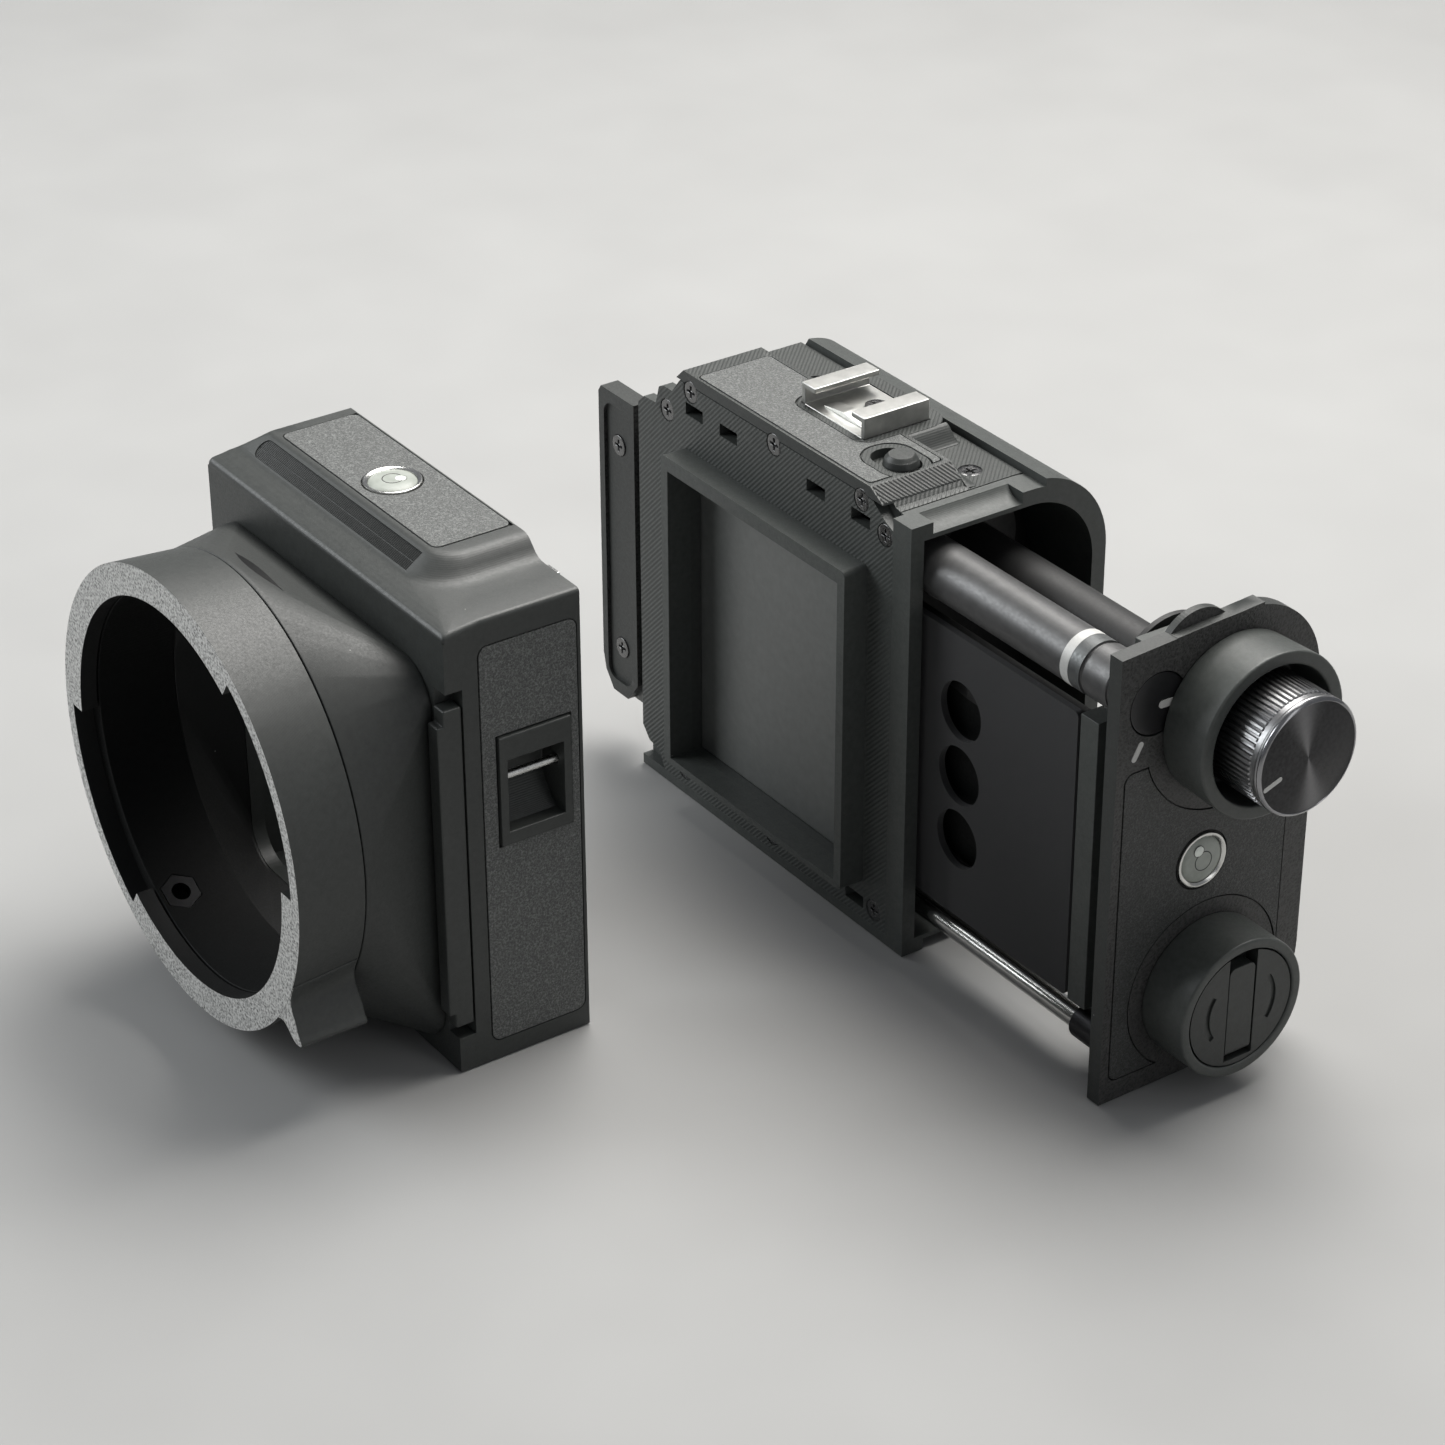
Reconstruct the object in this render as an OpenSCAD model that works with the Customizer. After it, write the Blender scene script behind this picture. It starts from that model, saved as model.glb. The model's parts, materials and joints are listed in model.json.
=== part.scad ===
// Modular roll-film camera: a film back with its film insert drawn out,
// and the lens body that docks on the front of the back.
// Frame: origin at the middle of the film back's underside, +X along the
// film insert's pull, +Y towards the rear, +Z up. Millimetres.

/* [Film back] */
// Width of the film back shell
back_w = 96.6; // [90:0.2:110]
// Depth of the film back, front plate to rear
back_d = 50; // [48:0.5:60]
// Height of the film back shell
back_h = 100; // [98:0.5:110]
// Printed wall thickness of the film back
wall = 3.5; // [3:0.1:4]
// Radius of the rear top and bottom edges
corner_r = 20; // [14:0.5:22]
// How far the deck stands above the shell's top
deck_rise = 3.7; // [2.5:0.1:5]
// Depth of the deck, from the front plate to the rear
deck_d = 20; // [18:0.5:21]
// Height of the rear hump above the shell's top
hump_rise = 1.8; // [0.8:0.1:2.4]
// Thickness of the leatherette
leather_t = 0.6; // [0.4:0.1:0.8]
// Gap round a piece of leatherette
leather_gap = 0.3; // [0.2:0.05:0.4]

/* [Front plate] */
// Thickness of the front plate
plate_t = 2.6; // [2.2:0.1:3]
// Width of the shell's own strip beside the front plate
strip_w = 5.9; // [5:0.1:7]
// Height of the front plate's lower edge
plate_z = 2.4; // [1.5:0.1:3.2]
// Height of the front plate's upper edge above the shell's top
plate_over = 1; // [0.5:0.1:1.4]
// Width of the picture opening
gate_w = 60.7; // [57:0.1:64]
// Height of the picture opening
gate_h = 70.2; // [66:0.1:72]
// How far the picture opening's middle lies below the shell's middle
gate_drop = 2.4; // [1:0.1:4]
// Distance of the picture's middle from the right end of the shell
gate_x = 46.7; // [45:0.1:48]
// Wall of the hood round the picture opening
hood_wall = 2.4; // [1.6:0.1:3]
// How far the hood stands in front of the plate
hood_d = 5.8; // [4:0.1:7]
// Width of the hook slots
slot_w = 6.3; // [6.1:0.1:7]
// Height of the hook slots
slot_h = 2.8; // [2.6:0.1:3]
// Height of the upper row of hook slots below the shell's top
slot_drop = 4.6; // [4.5:0.1:4.8]
// Height of the lower row of hook slots
slot_low = 6.2; // [6:0.1:6.5]

/* [Dark slide] */
// Thickness of the dark slide sheet
sheet_t = 0.5; // [0.4:0.05:0.6]
// Clearance on each face of the dark slide sheet
sheet_gap = 0.2; // [0.15:0.05:0.3]
// Height of the dark slide sheet
sheet_h = 70.5; // [68:0.5:72]
// Width of the dark slide handle
grip_w = 13.8; // [10:0.2:16]
// Height of the dark slide handle
grip_h = 74.5; // [70:0.5:80]
// Thickness of the dark slide handle
grip_t = 4.5; // [3.5:0.1:6]
// Gap between the handle and the shell
grip_gap = 3.2; // [1:0.1:5]
// Thickness of the guide plate behind the dark slide
guide_t = 0.6; // [0.4:0.1:0.7]

/* [Film insert] */
// How far the film insert stands drawn out
pull = 60.7; // [20:0.1:80]
// Thickness of the side plate
side_t = 3.5; // [3:0.1:5]
// Thickness of the lip that closes the shell's end
lip_t = 5.1; // [4:0.1:6]
// Width of the light-trap groove
groove_t = 2.9; // [2:0.1:4]
// Thickness of the inner wall at the pressure plate
inner_t = 5.3; // [4:0.1:5.5]
// Thickness of the far bulkhead
bulk_t = 4.7; // [4:0.1:5.5]
// Length of a roll-film spool
spool_len = 65; // [64.6:0.1:65.2]
// Radius of the spool flanges
spool_r = 12.6; // [12:0.1:12.8]
// Radius of the counter roller
roller_r = 5.8; // [5:0.1:5.9]
// Distance of the counter roller's axis below the shell's top
roller_drop = 12; // [11.5:0.1:12.2]
// Distance of the take-up spool's axis below the shell's top
spool_drop = 19.4; // [19:0.1:20]
// Height of the supply spool's axis
supply_z = 20; // [19.5:0.1:21]
// Radius of the steel guide rod
rod_r = 2.5; // [2:0.1:2.8]
// Height of the guide rod's axis
rod_z = 9; // [8.8:0.1:9.5]
// Thickness of the pressure plate
press_t = 1.5; // [1:0.1:2]
// Play of the pressure plate on its springs
press_play = 1.2; // [0.8:0.1:1.4]
// Diameter of the holes in the pressure plate
press_hole = 13; // [8:0.5:15]

/* [Knobs and levels] */
// Outer radius of the collar round the advance knob
collar_r = 17.5; // [16.5:0.1:18]
// Height of both collars above the side plate
collar_h = 12; // [9:0.5:13]
// Radius of the advance knob
knob_r = 12.3; // [11:0.1:13.5]
// Height of the advance knob's face above the side plate
knob_h = 21.8; // [16:0.2:26]
// Radius of the advance shaft
shaft_r = 4; // [3:0.1:5]
// Outer radius of the collar round the supply key
key_collar_r = 15.3; // [14.5:0.1:16]
// Radius of the supply key
key_r = 12.8; // [11.5:0.1:13]
// Width of the supply key's folding grip
key_grip_w = 6.5; // [4.5:0.1:7.5]
// Travel of the supply key when it is pulled
key_pull = 8; // [5:0.5:9]
// Radius of the counter dial
dial_r = 6.5; // [5.5:0.1:7]
// Radius of the two bubble levels
level_r = 6; // [5:0.1:6.5]
// Radial running clearance of shafts
run = 0.06; // [0.03:0.01:0.09]
// Gap between pieces that only lie side by side
near = 0.3; // [0.2:0.05:0.4]

/* [Deck] */
// Width of the accessory shoe
shoe_w = 21.6; // [21:0.1:22.5]
// Length of the accessory shoe
shoe_l = 16.5; // [15:0.5:18]
// Height of the accessory shoe above its seat
shoe_h = 4.6; // [4.2:0.1:5]
// Sheet thickness of the accessory shoe
shoe_t = 1.2; // [1:0.1:1.5]
// Radius of the release button at its foot
button_r = 3.8; // [3:0.1:4]
// Travel of the release button
button_travel = 1.6; // [1:0.1:1.7]

/* [Lens body] */
// Width of the lens body
lens_w = 92; // [88:0.5:100]
// Depth of the lens body's box
lens_d = 30.4; // [28:0.2:36]
// How much taller the lens body's box is than the film back's shell
lens_step = 0; // [-0.5:0.1:2]
// Wall thickness of the lens body
lens_wall = 3; // [2.5:0.1:3.4]
// Rise of the lens body's deck
lens_rise = 4; // [2.5:0.1:5]
// Distance of the lens ring's axis from the right side
ring_x = 46; // [45:0.1:47]
// Height of the lens ring's axis
ring_z = 53; // [51:0.5:54]
// Outer radius of the lock ring
ring_r = 48.1; // [47.5:0.1:49]
// Depth of the lock ring
ring_d = 15.3; // [12:0.1:18]
// Depth of the cone between the box and the ring
cone_d = 19.5; // [16:0.5:26]
// Wall of the lock ring
ring_wall = 2.9; // [2.4:0.1:3.2]
// Bore radius of the lens seat
seat_r = 41.2; // [40:0.1:41.6]
// Inner radius of the bayonet lugs
lug_r = 41.4; // [40:0.1:42]

/* [Docking] */
// Sideways distance of the lens body from its docked place
dock_x = 16.45; // [0:0.05:20]
// Forward distance of the lens body from its docked place
dock_y = 66.2; // [50:0.1:90]
// Sideways shift of the docked lens body from the back's right end
dock_inset = 0.55; // [0:0.05:1.5]
// Gap between the docked lens body and the front plate
dock_gap = 0.3; // [0.2:0.05:0.4]
// Travel of the hook plate
hook_travel = 2; // [1.5:0.1:2.1]
// Travel of the latch bar
latch_travel = 3; // [2:0.1:3.2]

/* [Hidden] */
$fn = 64;
eps = 0.01;
big = 400;
printed = [0.10, 0.11, 0.11];
printed_dark = [0.07, 0.08, 0.08];
leatherette = [0.12, 0.14, 0.13];
steel = [0.75, 0.75, 0.74];
black_metal = [0.05, 0.05, 0.05];
flock = [0.04, 0.04, 0.045];
clear = [0.85, 0.90, 0.88];

// ---- places shared by several pieces ----
x_left = -back_w / 2;
x_right = back_w / 2;
y_front = -back_d / 2;
y_rear = back_d / 2;

// places measured from the shell's right end and from its front face
function rx(d) = x_right - d;
function fy(d) = y_front + d;

gate_cx = rx(gate_x);
gate_z = back_h / 2 - gate_drop;
sheet_y = fy(plate_t + sheet_gap);
guide_y = fy(plate_t + 2 * sheet_gap + sheet_t);
guide_rear = guide_y + guide_t;
inner_y = fy(plate_t + 0.6);
deck_z = back_h + deck_rise;
cover_t = 1.5;
cover_y1 = fy(33.4);
cover_x0 = rx(83.4);
cover_x1 = rx(6.9);
plate_x1 = rx(strip_w);
plate_top = back_h + plate_over;
shoe_cx = rx(42);
shoe_y0 = fy(11.5);
button_x = rx(18.4);
button_y = fy(11.2);

// film path
roller_y = inner_y + 0.3 + roller_r;
roller_z = back_h - roller_drop;
rod_y = guide_rear + 1 + rod_r;
press_y = guide_rear + 0.8;
press_z0 = 14.6;
press_z1 = back_h - 20.9;
hole_pitch = 14.9;
web_t = 2;
web_inset = 2;
block_low = 8;
block_top = back_h - 8;
web_y = press_y + press_t + press_play + 0.8;
spool_y = fy(27.8);
spool_z = back_h - spool_drop;
supply_y = fy(25);
spool_x0 = gate_cx - spool_len / 2;
spool_x1 = gate_cx + spool_len / 2;
spool_end_gap = 1;
block_x0 = x_right - lip_t - groove_t - inner_t;
bulk_x1 = spool_x0 - spool_end_gap;
bulk_x0 = bulk_x1 - bulk_t;
carrier_front = guide_rear + 0.9;
inset = wall + 1;
nose_r = 2.5;
nose_len = 3;
side_x1 = x_right + side_t;

level_y = fy(22.8);
level_z = back_h / 2 - 1.1;
leather_low = 4.8;
leather_top = back_h - 25.5;

// hooks and their slots, measured from the shell's right end
slot_places = [75.3, 62.8, 31.9, 16.7];
slot_rows = [slot_low, back_h - slot_drop];
low_rail = 1.2;
top_rail = 5.6;
neck_w = 2.2;
head_w = 4;
hook_h = 1.6;
hook_start = -1.45;

// lens body's own frame: right side, box front face and underside
lens_x = x_right - dock_inset - dock_x;
lens_y = y_front - dock_y - lens_d;
lens_h = back_h + lens_step;
lens_top = lens_h + lens_rise;
strap_h = 24.3;
strap_z1 = lens_h - 26.5;
strap_z0 = strap_z1 - strap_h;
strap_w = 16.4;
strap_y1 = lens_d - 3;
strap_y0 = strap_y1 - strap_w;
strap_rim = 1.8;
strap_depth = 9;
strap_proud = 0.8;
pin_r = 0.9;
pin_z = strap_z1 - 10.5;
pin_x = -2.4;
frame_t = 1.4;
hook_t = 1;
mouth_x0 = -lens_w + 10;
mouth_x1 = -10.5;
mouth_gap = 2.5;
hood_up = 0.9;
mouth_z0 = gate_z - gate_h / 2 - hood_wall + hood_up - mouth_gap;
mouth_z1 = gate_z + gate_h / 2 + hood_wall + hood_up + mouth_gap;
hook_y = lens_d - frame_t - near - hook_t;
baffle_t = 2.4;
baffle_y = hook_y - near - baffle_t;
tube_gap = 0.2;
tube_r = ring_r - ring_wall - tube_gap;
lens_level_x = -52.3;
lens_level_y = 20.4;
bush_r = 5;
bush_h = 7;

// screws
head_r = 2.4;
head_t = 1.4;
thread_r = 1.2;
fit_gap = 0.1;
plate_screw = plate_t + 1;

// ---- helpers ----
// a (Y, Z) outline pushed along +X from x0
module along_x(x0, len) {
    translate([x0, 0, 0]) rotate([90, 0, 90]) linear_extrude(len) children();
}

// an (X, Z) outline pushed along +Y from y0
module along_y(y0, len) {
    translate([0, y0 + len, 0]) rotate([90, 0, 0]) linear_extrude(len) children();
}

// an (X, Y) outline pushed up from z0
module along_z(z0, len) {
    translate([0, 0, z0]) linear_extrude(len) children();
}

module box(x0, x1, y0, y1, z0, z1) {
    translate([x0, y0, z0]) cube([x1 - x0, y1 - y0, z1 - z0]);
}

module rod_x(x0, x1, y, z, r) {
    translate([x0, y, z]) rotate([0, 90, 0]) cylinder(h = x1 - x0, r = r);
}

module rod_y(y0, y1, x, z, r) {
    translate([x, y0, z]) rotate([-90, 0, 0]) cylinder(h = y1 - y0, r = r);
}

module rod_z(z0, z1, x, y, r) {
    translate([x, y, z0]) cylinder(h = z1 - z0, r = r);
}

// rectangle with round corners, from its two opposite corners
module round_rect(x0, y0, x1, y1, r) {
    translate([x0 + r, y0]) square([x1 - x0 - 2 * r, y1 - y0]);
    translate([x0, y0 + r]) square([x1 - x0, y1 - y0 - 2 * r]);
    for (x = [x0 + r, x1 - r], y = [y0 + r, y1 - r])
        translate([x, y]) circle(r = r);
}

// rectangle that is square at the front and round at the rear
module d_rect(y0, y1, z0, z1, r) {
    translate([y0, z0]) square([y1 - r - y0, z1 - z0]);
    translate([y0, z0 + r]) square([y1 - y0, z1 - z0 - 2 * r]);
    for (z = [z0 + r, z1 - r])
        translate([y1 - r, z]) circle(r = r);
}

// end outline of the film back, with the rear hump
module back_outline() {
    d_rect(y_front, y_rear, 0, back_h, corner_r);
    intersection() {
        d_rect(y_front, y_rear, 0, back_h + hump_rise, corner_r);
        translate([cover_y1 + 0.2, back_h / 2]) square([big, big]);
    }
}

// everything above the stepped left shoulder of the shell, (X, Z)
module shoulder_cut(drop) {
    polygon([
        [rx(79.5) + drop, deck_z - drop],
        [rx(84) + drop, back_h - 3 - drop],
        [x_left - eps, back_h - 11.5 - drop],
        [x_left - 20, back_h - 11.5 - drop],
        [x_left - 20, back_h + 20],
        [rx(79.5) + drop, back_h + 20]
    ]);
}

module moved_insert() {
    translate([pull, 0, 0]) children();
}

module moved_lens() {
    translate([lens_x, lens_y, 0]) children();
}

// a countersunk-looking screw: round head with a cross, shank behind it
// drawn along +Z with the head's face at z = 0 and the shank below
module screw(len) {
    difference() {
        union() {
            translate([0, 0, -head_t]) cylinder(h = head_t, r = head_r);
            translate([0, 0, -len]) cylinder(h = len - head_t + eps, r = thread_r);
        }
        for (a = [0, 90])
            rotate(a) translate([-1.4, -0.3, -0.7]) cube([2.8, 0.6, 1]);
    }
}

// the hole that such a screw sits in
module screw_hole(len) {
    translate([0, 0, -head_t]) cylinder(h = head_t + 1, r = head_r + fit_gap);
    translate([0, 0, -len - near]) cylinder(h = len + near, r = thread_r + fit_gap);
}

module facing_front() {
    rotate([90, 0, 0]) children();
}

// ---- film back ----
module back_shell() {
    color(printed) difference() {
        along_x(x_left, back_w) back_outline();
        difference() {
            along_x(x_left + wall, back_w)
                d_rect(inner_y, y_rear - wall, wall, back_h - wall, corner_r - wall);
            along_y(y_front - 1, back_d + 2) shoulder_cut(wall);
        }
        along_y(y_front - 1, back_d + 2) shoulder_cut(0);
        // seat of the front plate, and the open front behind it
        box(x_left - 1, plate_x1, y_front - 1, fy(plate_t), plate_z, back_h + 1);
        box(x_left + wall, plate_x1 - 2.5, y_front, inner_y + eps, wall, back_h - wall);
        // slot that the dark slide passes through
        box(x_left - 1, x_left + wall + 1, fy(plate_t) - eps, guide_y,
            gate_z - sheet_h / 2 - near, gate_z + sheet_h / 2 + near);
        // seat of the top cover
        box(cover_x0, cover_x1, y_front - 1, cover_y1, back_h - cover_t, back_h + 5);
        // finger scoops above and below the drawer's edge
        for (z = [back_h + 3.5, -3.5])
            rod_y(fy(5.4), fy(27.7), x_right, z, 6);
        // room for the release button's foot
        rod_z(back_h - wall - 1, back_h, button_x, button_y, 2.5);
        place_cover_screws() screw_hole(5);
        place_plate_screws() screw_hole(plate_screw);
        // round pocket in the far wall, beside the take-up spool
        rod_x(x_left + wall - 1.2, x_left + wall + 1, spool_y, spool_z - 3, 15.5);
    }
}

module plate_outline() {
    polygon([
        [plate_x1, plate_z], [rx(88), plate_z], [rx(90.2), plate_z + 4],
        [rx(94), plate_z + 4.6], [x_left, plate_z + 7.6],
        [x_left, back_h - 10.2], [rx(94.4), back_h - 8.1],
        [rx(89.8), back_h - 7.8], [rx(88.6), back_h - 3.6], [rx(87), back_h - 2.7],
        [rx(83.6), back_h - 2.7], [rx(80.6), plate_top], [rx(12.6), plate_top],
        [rx(9), back_h - 1.6], [plate_x1, back_h - 3]
    ]);
}

module front_plate() {
    rib_z = sheet_h / 2 + near;
    rib_t = 1.5;
    color(printed) {
        difference() {
            union() {
                along_y(y_front, plate_t) plate_outline();
                // ribs that leave room for the dark slide
                for (s = [-1, 1])
                    box(x_left + wall + near, plate_x1 - 2.8, fy(plate_t) - eps, guide_y,
                        gate_z + s * rib_z + (s < 0 ? -rib_t : 0),
                        gate_z + s * rib_z + (s < 0 ? 0 : rib_t));
            }
            box(gate_cx - gate_w / 2, gate_cx + gate_w / 2, y_front - 1, y_front + 9,
                gate_z - gate_h / 2, gate_z + gate_h / 2);
            for (d = slot_places, z = slot_rows)
                box(rx(d) - slot_w / 2, rx(d) + slot_w / 2, y_front - 1, y_front + 9,
                    z - slot_h / 2, z + slot_h / 2);
            place_plate_screws() screw_hole(plate_screw);
        }
    }
}

module gate_hood() {
    x0 = gate_cx - gate_w / 2;
    x1 = gate_cx + gate_w / 2;
    z0 = gate_z - gate_h / 2;
    z1 = gate_z + gate_h / 2;
    color(printed) along_y(y_front - hood_d, hood_d) difference() {
        round_rect(x0 - hood_wall, z0 - hood_wall + hood_up, x1 + hood_wall,
            z1 + hood_wall + hood_up, 1.2);
        translate([x0, z0]) square([gate_w, gate_h]);
    }
}

module slide_guide() {
    rim = 1.5;
    film_w = gate_w - 4.7;
    film_h = sheet_h - 1.5;
    color(black_metal) along_y(guide_y, guide_t) difference() {
        translate([x_left + wall + near, gate_z - sheet_h / 2 - near - rim])
            square([back_w - wall - near - 12.5, sheet_h + 2 * near + 2 * rim]);
        translate([gate_cx - film_w / 2, gate_z - film_h / 2]) square([film_w, film_h]);
    }
}

// the tongue behind the deck that carries the shoe, from above
module tongue_outline() {
    round_rect(rx(57), fy(deck_d - 8), rx(28), fy(31.5), 5);
}

module deck_section() {
    polygon([
        [cover_x0 + near, back_h - cover_t], [cover_x0 + near, back_h], [rx(79.3), deck_z],
        [rx(13.7), deck_z], [cover_x1 - near, back_h], [cover_x1 - near, back_h - cover_t]
    ]);
}

module button_pocket() {
    along_z(back_h + 1.7, 9) round_rect(rx(26), fy(7.2), rx(14), fy(15.2), 3.9);
}

module shoe_seat(z0, z1, g) {
    box(shoe_cx - shoe_w / 2 - g, shoe_cx + shoe_w / 2 + g,
        shoe_y0 - g, shoe_y0 + shoe_l + g, z0, z1);
}

module deck_leather_outline(g) {
    difference() {
        round_rect(rx(74.8) - g, fy(0.9) - g, rx(15) + g, fy(18.8) + g, 1 + g);
        round_rect(rx(55) + g, fy(9.4) + g, rx(29) - g, fy(40), 4);
        round_rect(rx(28) + g, fy(5.2) + g, rx(12) - g, fy(17.2) - g, 5.5);
    }
}

module top_cover() {
    color(printed) difference() {
        union() {
            box(cover_x0 + near, cover_x1 - near, fy(plate_t), cover_y1 - near,
                back_h - cover_t, back_h);
            along_y(y_front, deck_d) deck_section();
            along_z(back_h - cover_t, cover_t + deck_rise) tongue_outline();
        }
        // the front plate's upper edge goes under the deck's front
        box(x_left, x_right, y_front - 1, fy(plate_t), back_h - cover_t - 1, plate_top + 0.2);
        along_z(deck_z - leather_t, 9) deck_leather_outline(leather_gap);
        shoe_seat(deck_z - shoe_t, deck_z + 9, 0.2);
        place_shoe_screw() screw_hole(4);
        button_pocket();
        rod_z(back_h - cover_t - 1, deck_z, button_x, button_y, 1.5 + run);
        place_cover_screws() screw_hole(5);
        place_plate_screws() screw_hole(plate_screw);
    }
}

module deck_leather() {
    color(leatherette) along_z(deck_z - leather_t, leather_t + 0.1) deck_leather_outline(0);
}

module accessory_shoe() {
    x0 = shoe_cx - shoe_w / 2;
    x1 = shoe_cx + shoe_w / 2;
    z0 = deck_z - shoe_t;
    lip = 4.6;
    color(steel) difference() {
        union() {
            box(x0, x1, shoe_y0, shoe_y0 + shoe_l, z0, z0 + shoe_t);
            for (s = [[x0, x0 + shoe_t], [x1 - shoe_t, x1]])
                box(s[0], s[1], shoe_y0, shoe_y0 + shoe_l, z0, z0 + shoe_h + shoe_t);
            for (s = [[x0, x0 + lip], [x1 - lip, x1]])
                box(s[0], s[1], shoe_y0, shoe_y0 + shoe_l, z0 + shoe_h, z0 + shoe_h + shoe_t);
        }
        place_shoe_screw() screw_hole(4);
    }
}

module shoe_spring() {
    z0 = deck_z;
    color(steel) along_y(fy(14), 3.4) polygon([
        [shoe_cx - 6.4, z0], [shoe_cx, z0], [shoe_cx + 6.4, z0],
        [shoe_cx + 6.4, z0 + 0.3], [shoe_cx + 0.6, z0 + 1.1], [shoe_cx - 0.6, z0 + 1.1],
        [shoe_cx - 6.4, z0 + 0.3]
    ]);
}

module place_shoe_screw() {
    translate([shoe_cx, fy(22.6), deck_z + 0.6]) children();
}

module place_cover_screws() {
    for (p = [[65.4, 24.6], [13.9, 25.2]])
        translate([rx(p[0]), fy(p[1]), back_h - 0.1]) children();
}

module place_plate_screws() {
    for (p = [[76.7, 0.4], [46.6, 0.4], [16.5, 0.4]])
        translate([rx(p[0]), fy(0.1), back_h - p[1]]) facing_front() children();
    for (p = [[85.5, back_h - 7.9], [8.6, back_h - 5], [80, 6.2], [46.6, 6.2], [10, 6.2]])
        translate([rx(p[0]), fy(0.1), p[1]]) facing_front() children();
}

module cover_screws() {
    color(black_metal) {
        place_cover_screws() screw(4.4);
        place_shoe_screw() screw(3);
    }
}

module plate_screws() {
    color(black_metal) place_plate_screws() screw(plate_screw);
}

// ---- dark slide ----
grip_x1 = x_left - grip_gap;
grip_y0 = sheet_y + sheet_t / 2 - grip_t / 2;

module dark_slide_sheet() {
    color(flock) box(grip_x1 - 5, rx(13.5), sheet_y, sheet_y + sheet_t,
        gate_z - sheet_h / 2, gate_z + sheet_h / 2);
}

module place_handle_screws() {
    for (z = [-25.2, 25.2])
        translate([grip_x1 - grip_w / 2, grip_y0 + 0.5, gate_z + 2 + z]) facing_front() children();
}

module dark_slide_handle() {
    x0 = grip_x1 - grip_w;
    z0 = gate_z + 2.3 - grip_h / 2;
    z1 = z0 + grip_h;
    color(printed) difference() {
        along_y(grip_y0, grip_t) polygon([
            [x0 + 1, z0 + 4], [x0 + 4, z0], [grip_x1 - 4, z0], [grip_x1, z0 + 5],
            [grip_x1, z1], [x0 + 1, z1], [x0, z1 - 1.5], [x0, z0 + 8]
        ]);
        along_y(grip_y0 - 1, 1.8) round_rect(x0 + 2, z0 + 3, grip_x1 - 2.2, z1 - 3, 3);
        // slit that holds the sheet
        box(grip_x1 - 5 - eps, grip_x1 + 1, sheet_y, sheet_y + sheet_t,
            gate_z - sheet_h / 2, gate_z + sheet_h / 2);
        place_handle_screws() screw_hole(2.4);
    }
}

module handle_screws() {
    color(black_metal) place_handle_screws() screw(2.4);
}

// ---- release button ----
button_z = back_h + 1.7 + 0.3 + button_travel;

module release_button() {
    color(printed_dark) translate([button_x, button_y, 0]) {
        translate([0, 0, button_z]) cylinder(h = 1.4, r1 = button_r, r2 = button_r - 0.4);
        translate([0, 0, button_z + 1.4 - eps])
            cylinder(h = 0.9, r1 = button_r - 0.4, r2 = button_r - 1.2);
        translate([0, 0, back_h - 2.4]) cylinder(h = button_z - back_h + 2.4 + eps, r = 1.5);
        translate([0, 0, back_h - 3]) cylinder(h = 1.2, r = 2.2);
    }
}

// wire wound round the button's stem
wire_r = 0.25;
coil_r = 2.2;
coil_turns = 3;
coil_steps = 18;
coil_h = button_z - back_h - 1.7 - 2 * wire_r - 0.04;

function coil_point(i) = [
    coil_r * cos(360 * i / coil_steps), coil_r * sin(360 * i / coil_steps),
    coil_h * i / (coil_turns * coil_steps)
];

module button_spring() {
    color(steel) translate([button_x, button_y, back_h + 1.7 + wire_r + 0.02])
        wire([for (i = [0 : coil_turns * coil_steps]) coil_point(i)], wire_r, 6);
}

// round wire along a list of points, one ring of corners at each
module wire(points, r, sides) {
    n = len(points);
    function dir(i) = let (d = points[min(i + 1, n - 1)] - points[max(i - 1, 0)]) d / norm(d);
    function side(i) = let (s = cross(dir(i), [0, 0, 1])) s / norm(s);
    function corner(i, k) = points[i] + r * (cos(360 * k / sides) * side(i)
        + sin(360 * k / sides) * cross(side(i), dir(i)));
    corners = [for (i = [0 : n - 1], k = [0 : sides - 1]) corner(i, k)];
    walls = [for (i = [0 : n - 2], k = [0 : sides - 1])
        [i * sides + k, i * sides + (k + 1) % sides,
            (i + 1) * sides + (k + 1) % sides, (i + 1) * sides + k]];
    ends = [[for (k = [sides - 1 : -1 : 0]) k], [for (k = [0 : sides - 1]) (n - 1) * sides + k]];
    polyhedron(corners, concat(walls, ends), convexity = 4);
}

// ---- film insert ----
module side_leather_outline(g) {
    difference() {
        round_rect(fy(2.3) - g, leather_low - g, fy(44) + g, leather_top + g, 2 + g);
        translate([spool_y, spool_z]) circle(r = collar_r + 3.5 - g);
        translate([supply_y, supply_z]) circle(r = key_collar_r + 3.7 - g);
        translate([level_y, level_z]) circle(r = level_r + 0.5 - g);
        translate([supply_y, -1]) square([40, supply_z + 1]);
    }
}

module side_plate() {
    color(printed) moved_insert() difference() {
        along_x(x_right, side_t) union() {
            back_outline();
            translate([fy(20), back_h - 5]) circle(r = 9);
        }
        along_x(side_x1 - leather_t, 9) side_leather_outline(leather_gap);
        rod_x(x_right - 1, side_x1 + 1, spool_y, spool_z, shaft_r + run);
        rod_x(x_right - 1, side_x1 + 1, supply_y, supply_z, 3 + run);
        rod_x(x_right - 1, side_x1 + 1, roller_y, roller_z, 1.5 + run);
        rod_x(side_x1 - 1.6, side_x1 + 1, roller_y, roller_z, dial_r + 0.3);
        rod_x(x_right - 1, x_right + 1.5, rod_y, rod_z, 1.5 + run);
        rod_x(side_x1 - 2.4, side_x1 + 1, level_y, level_z, level_r + 0.05);
    }
}

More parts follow.
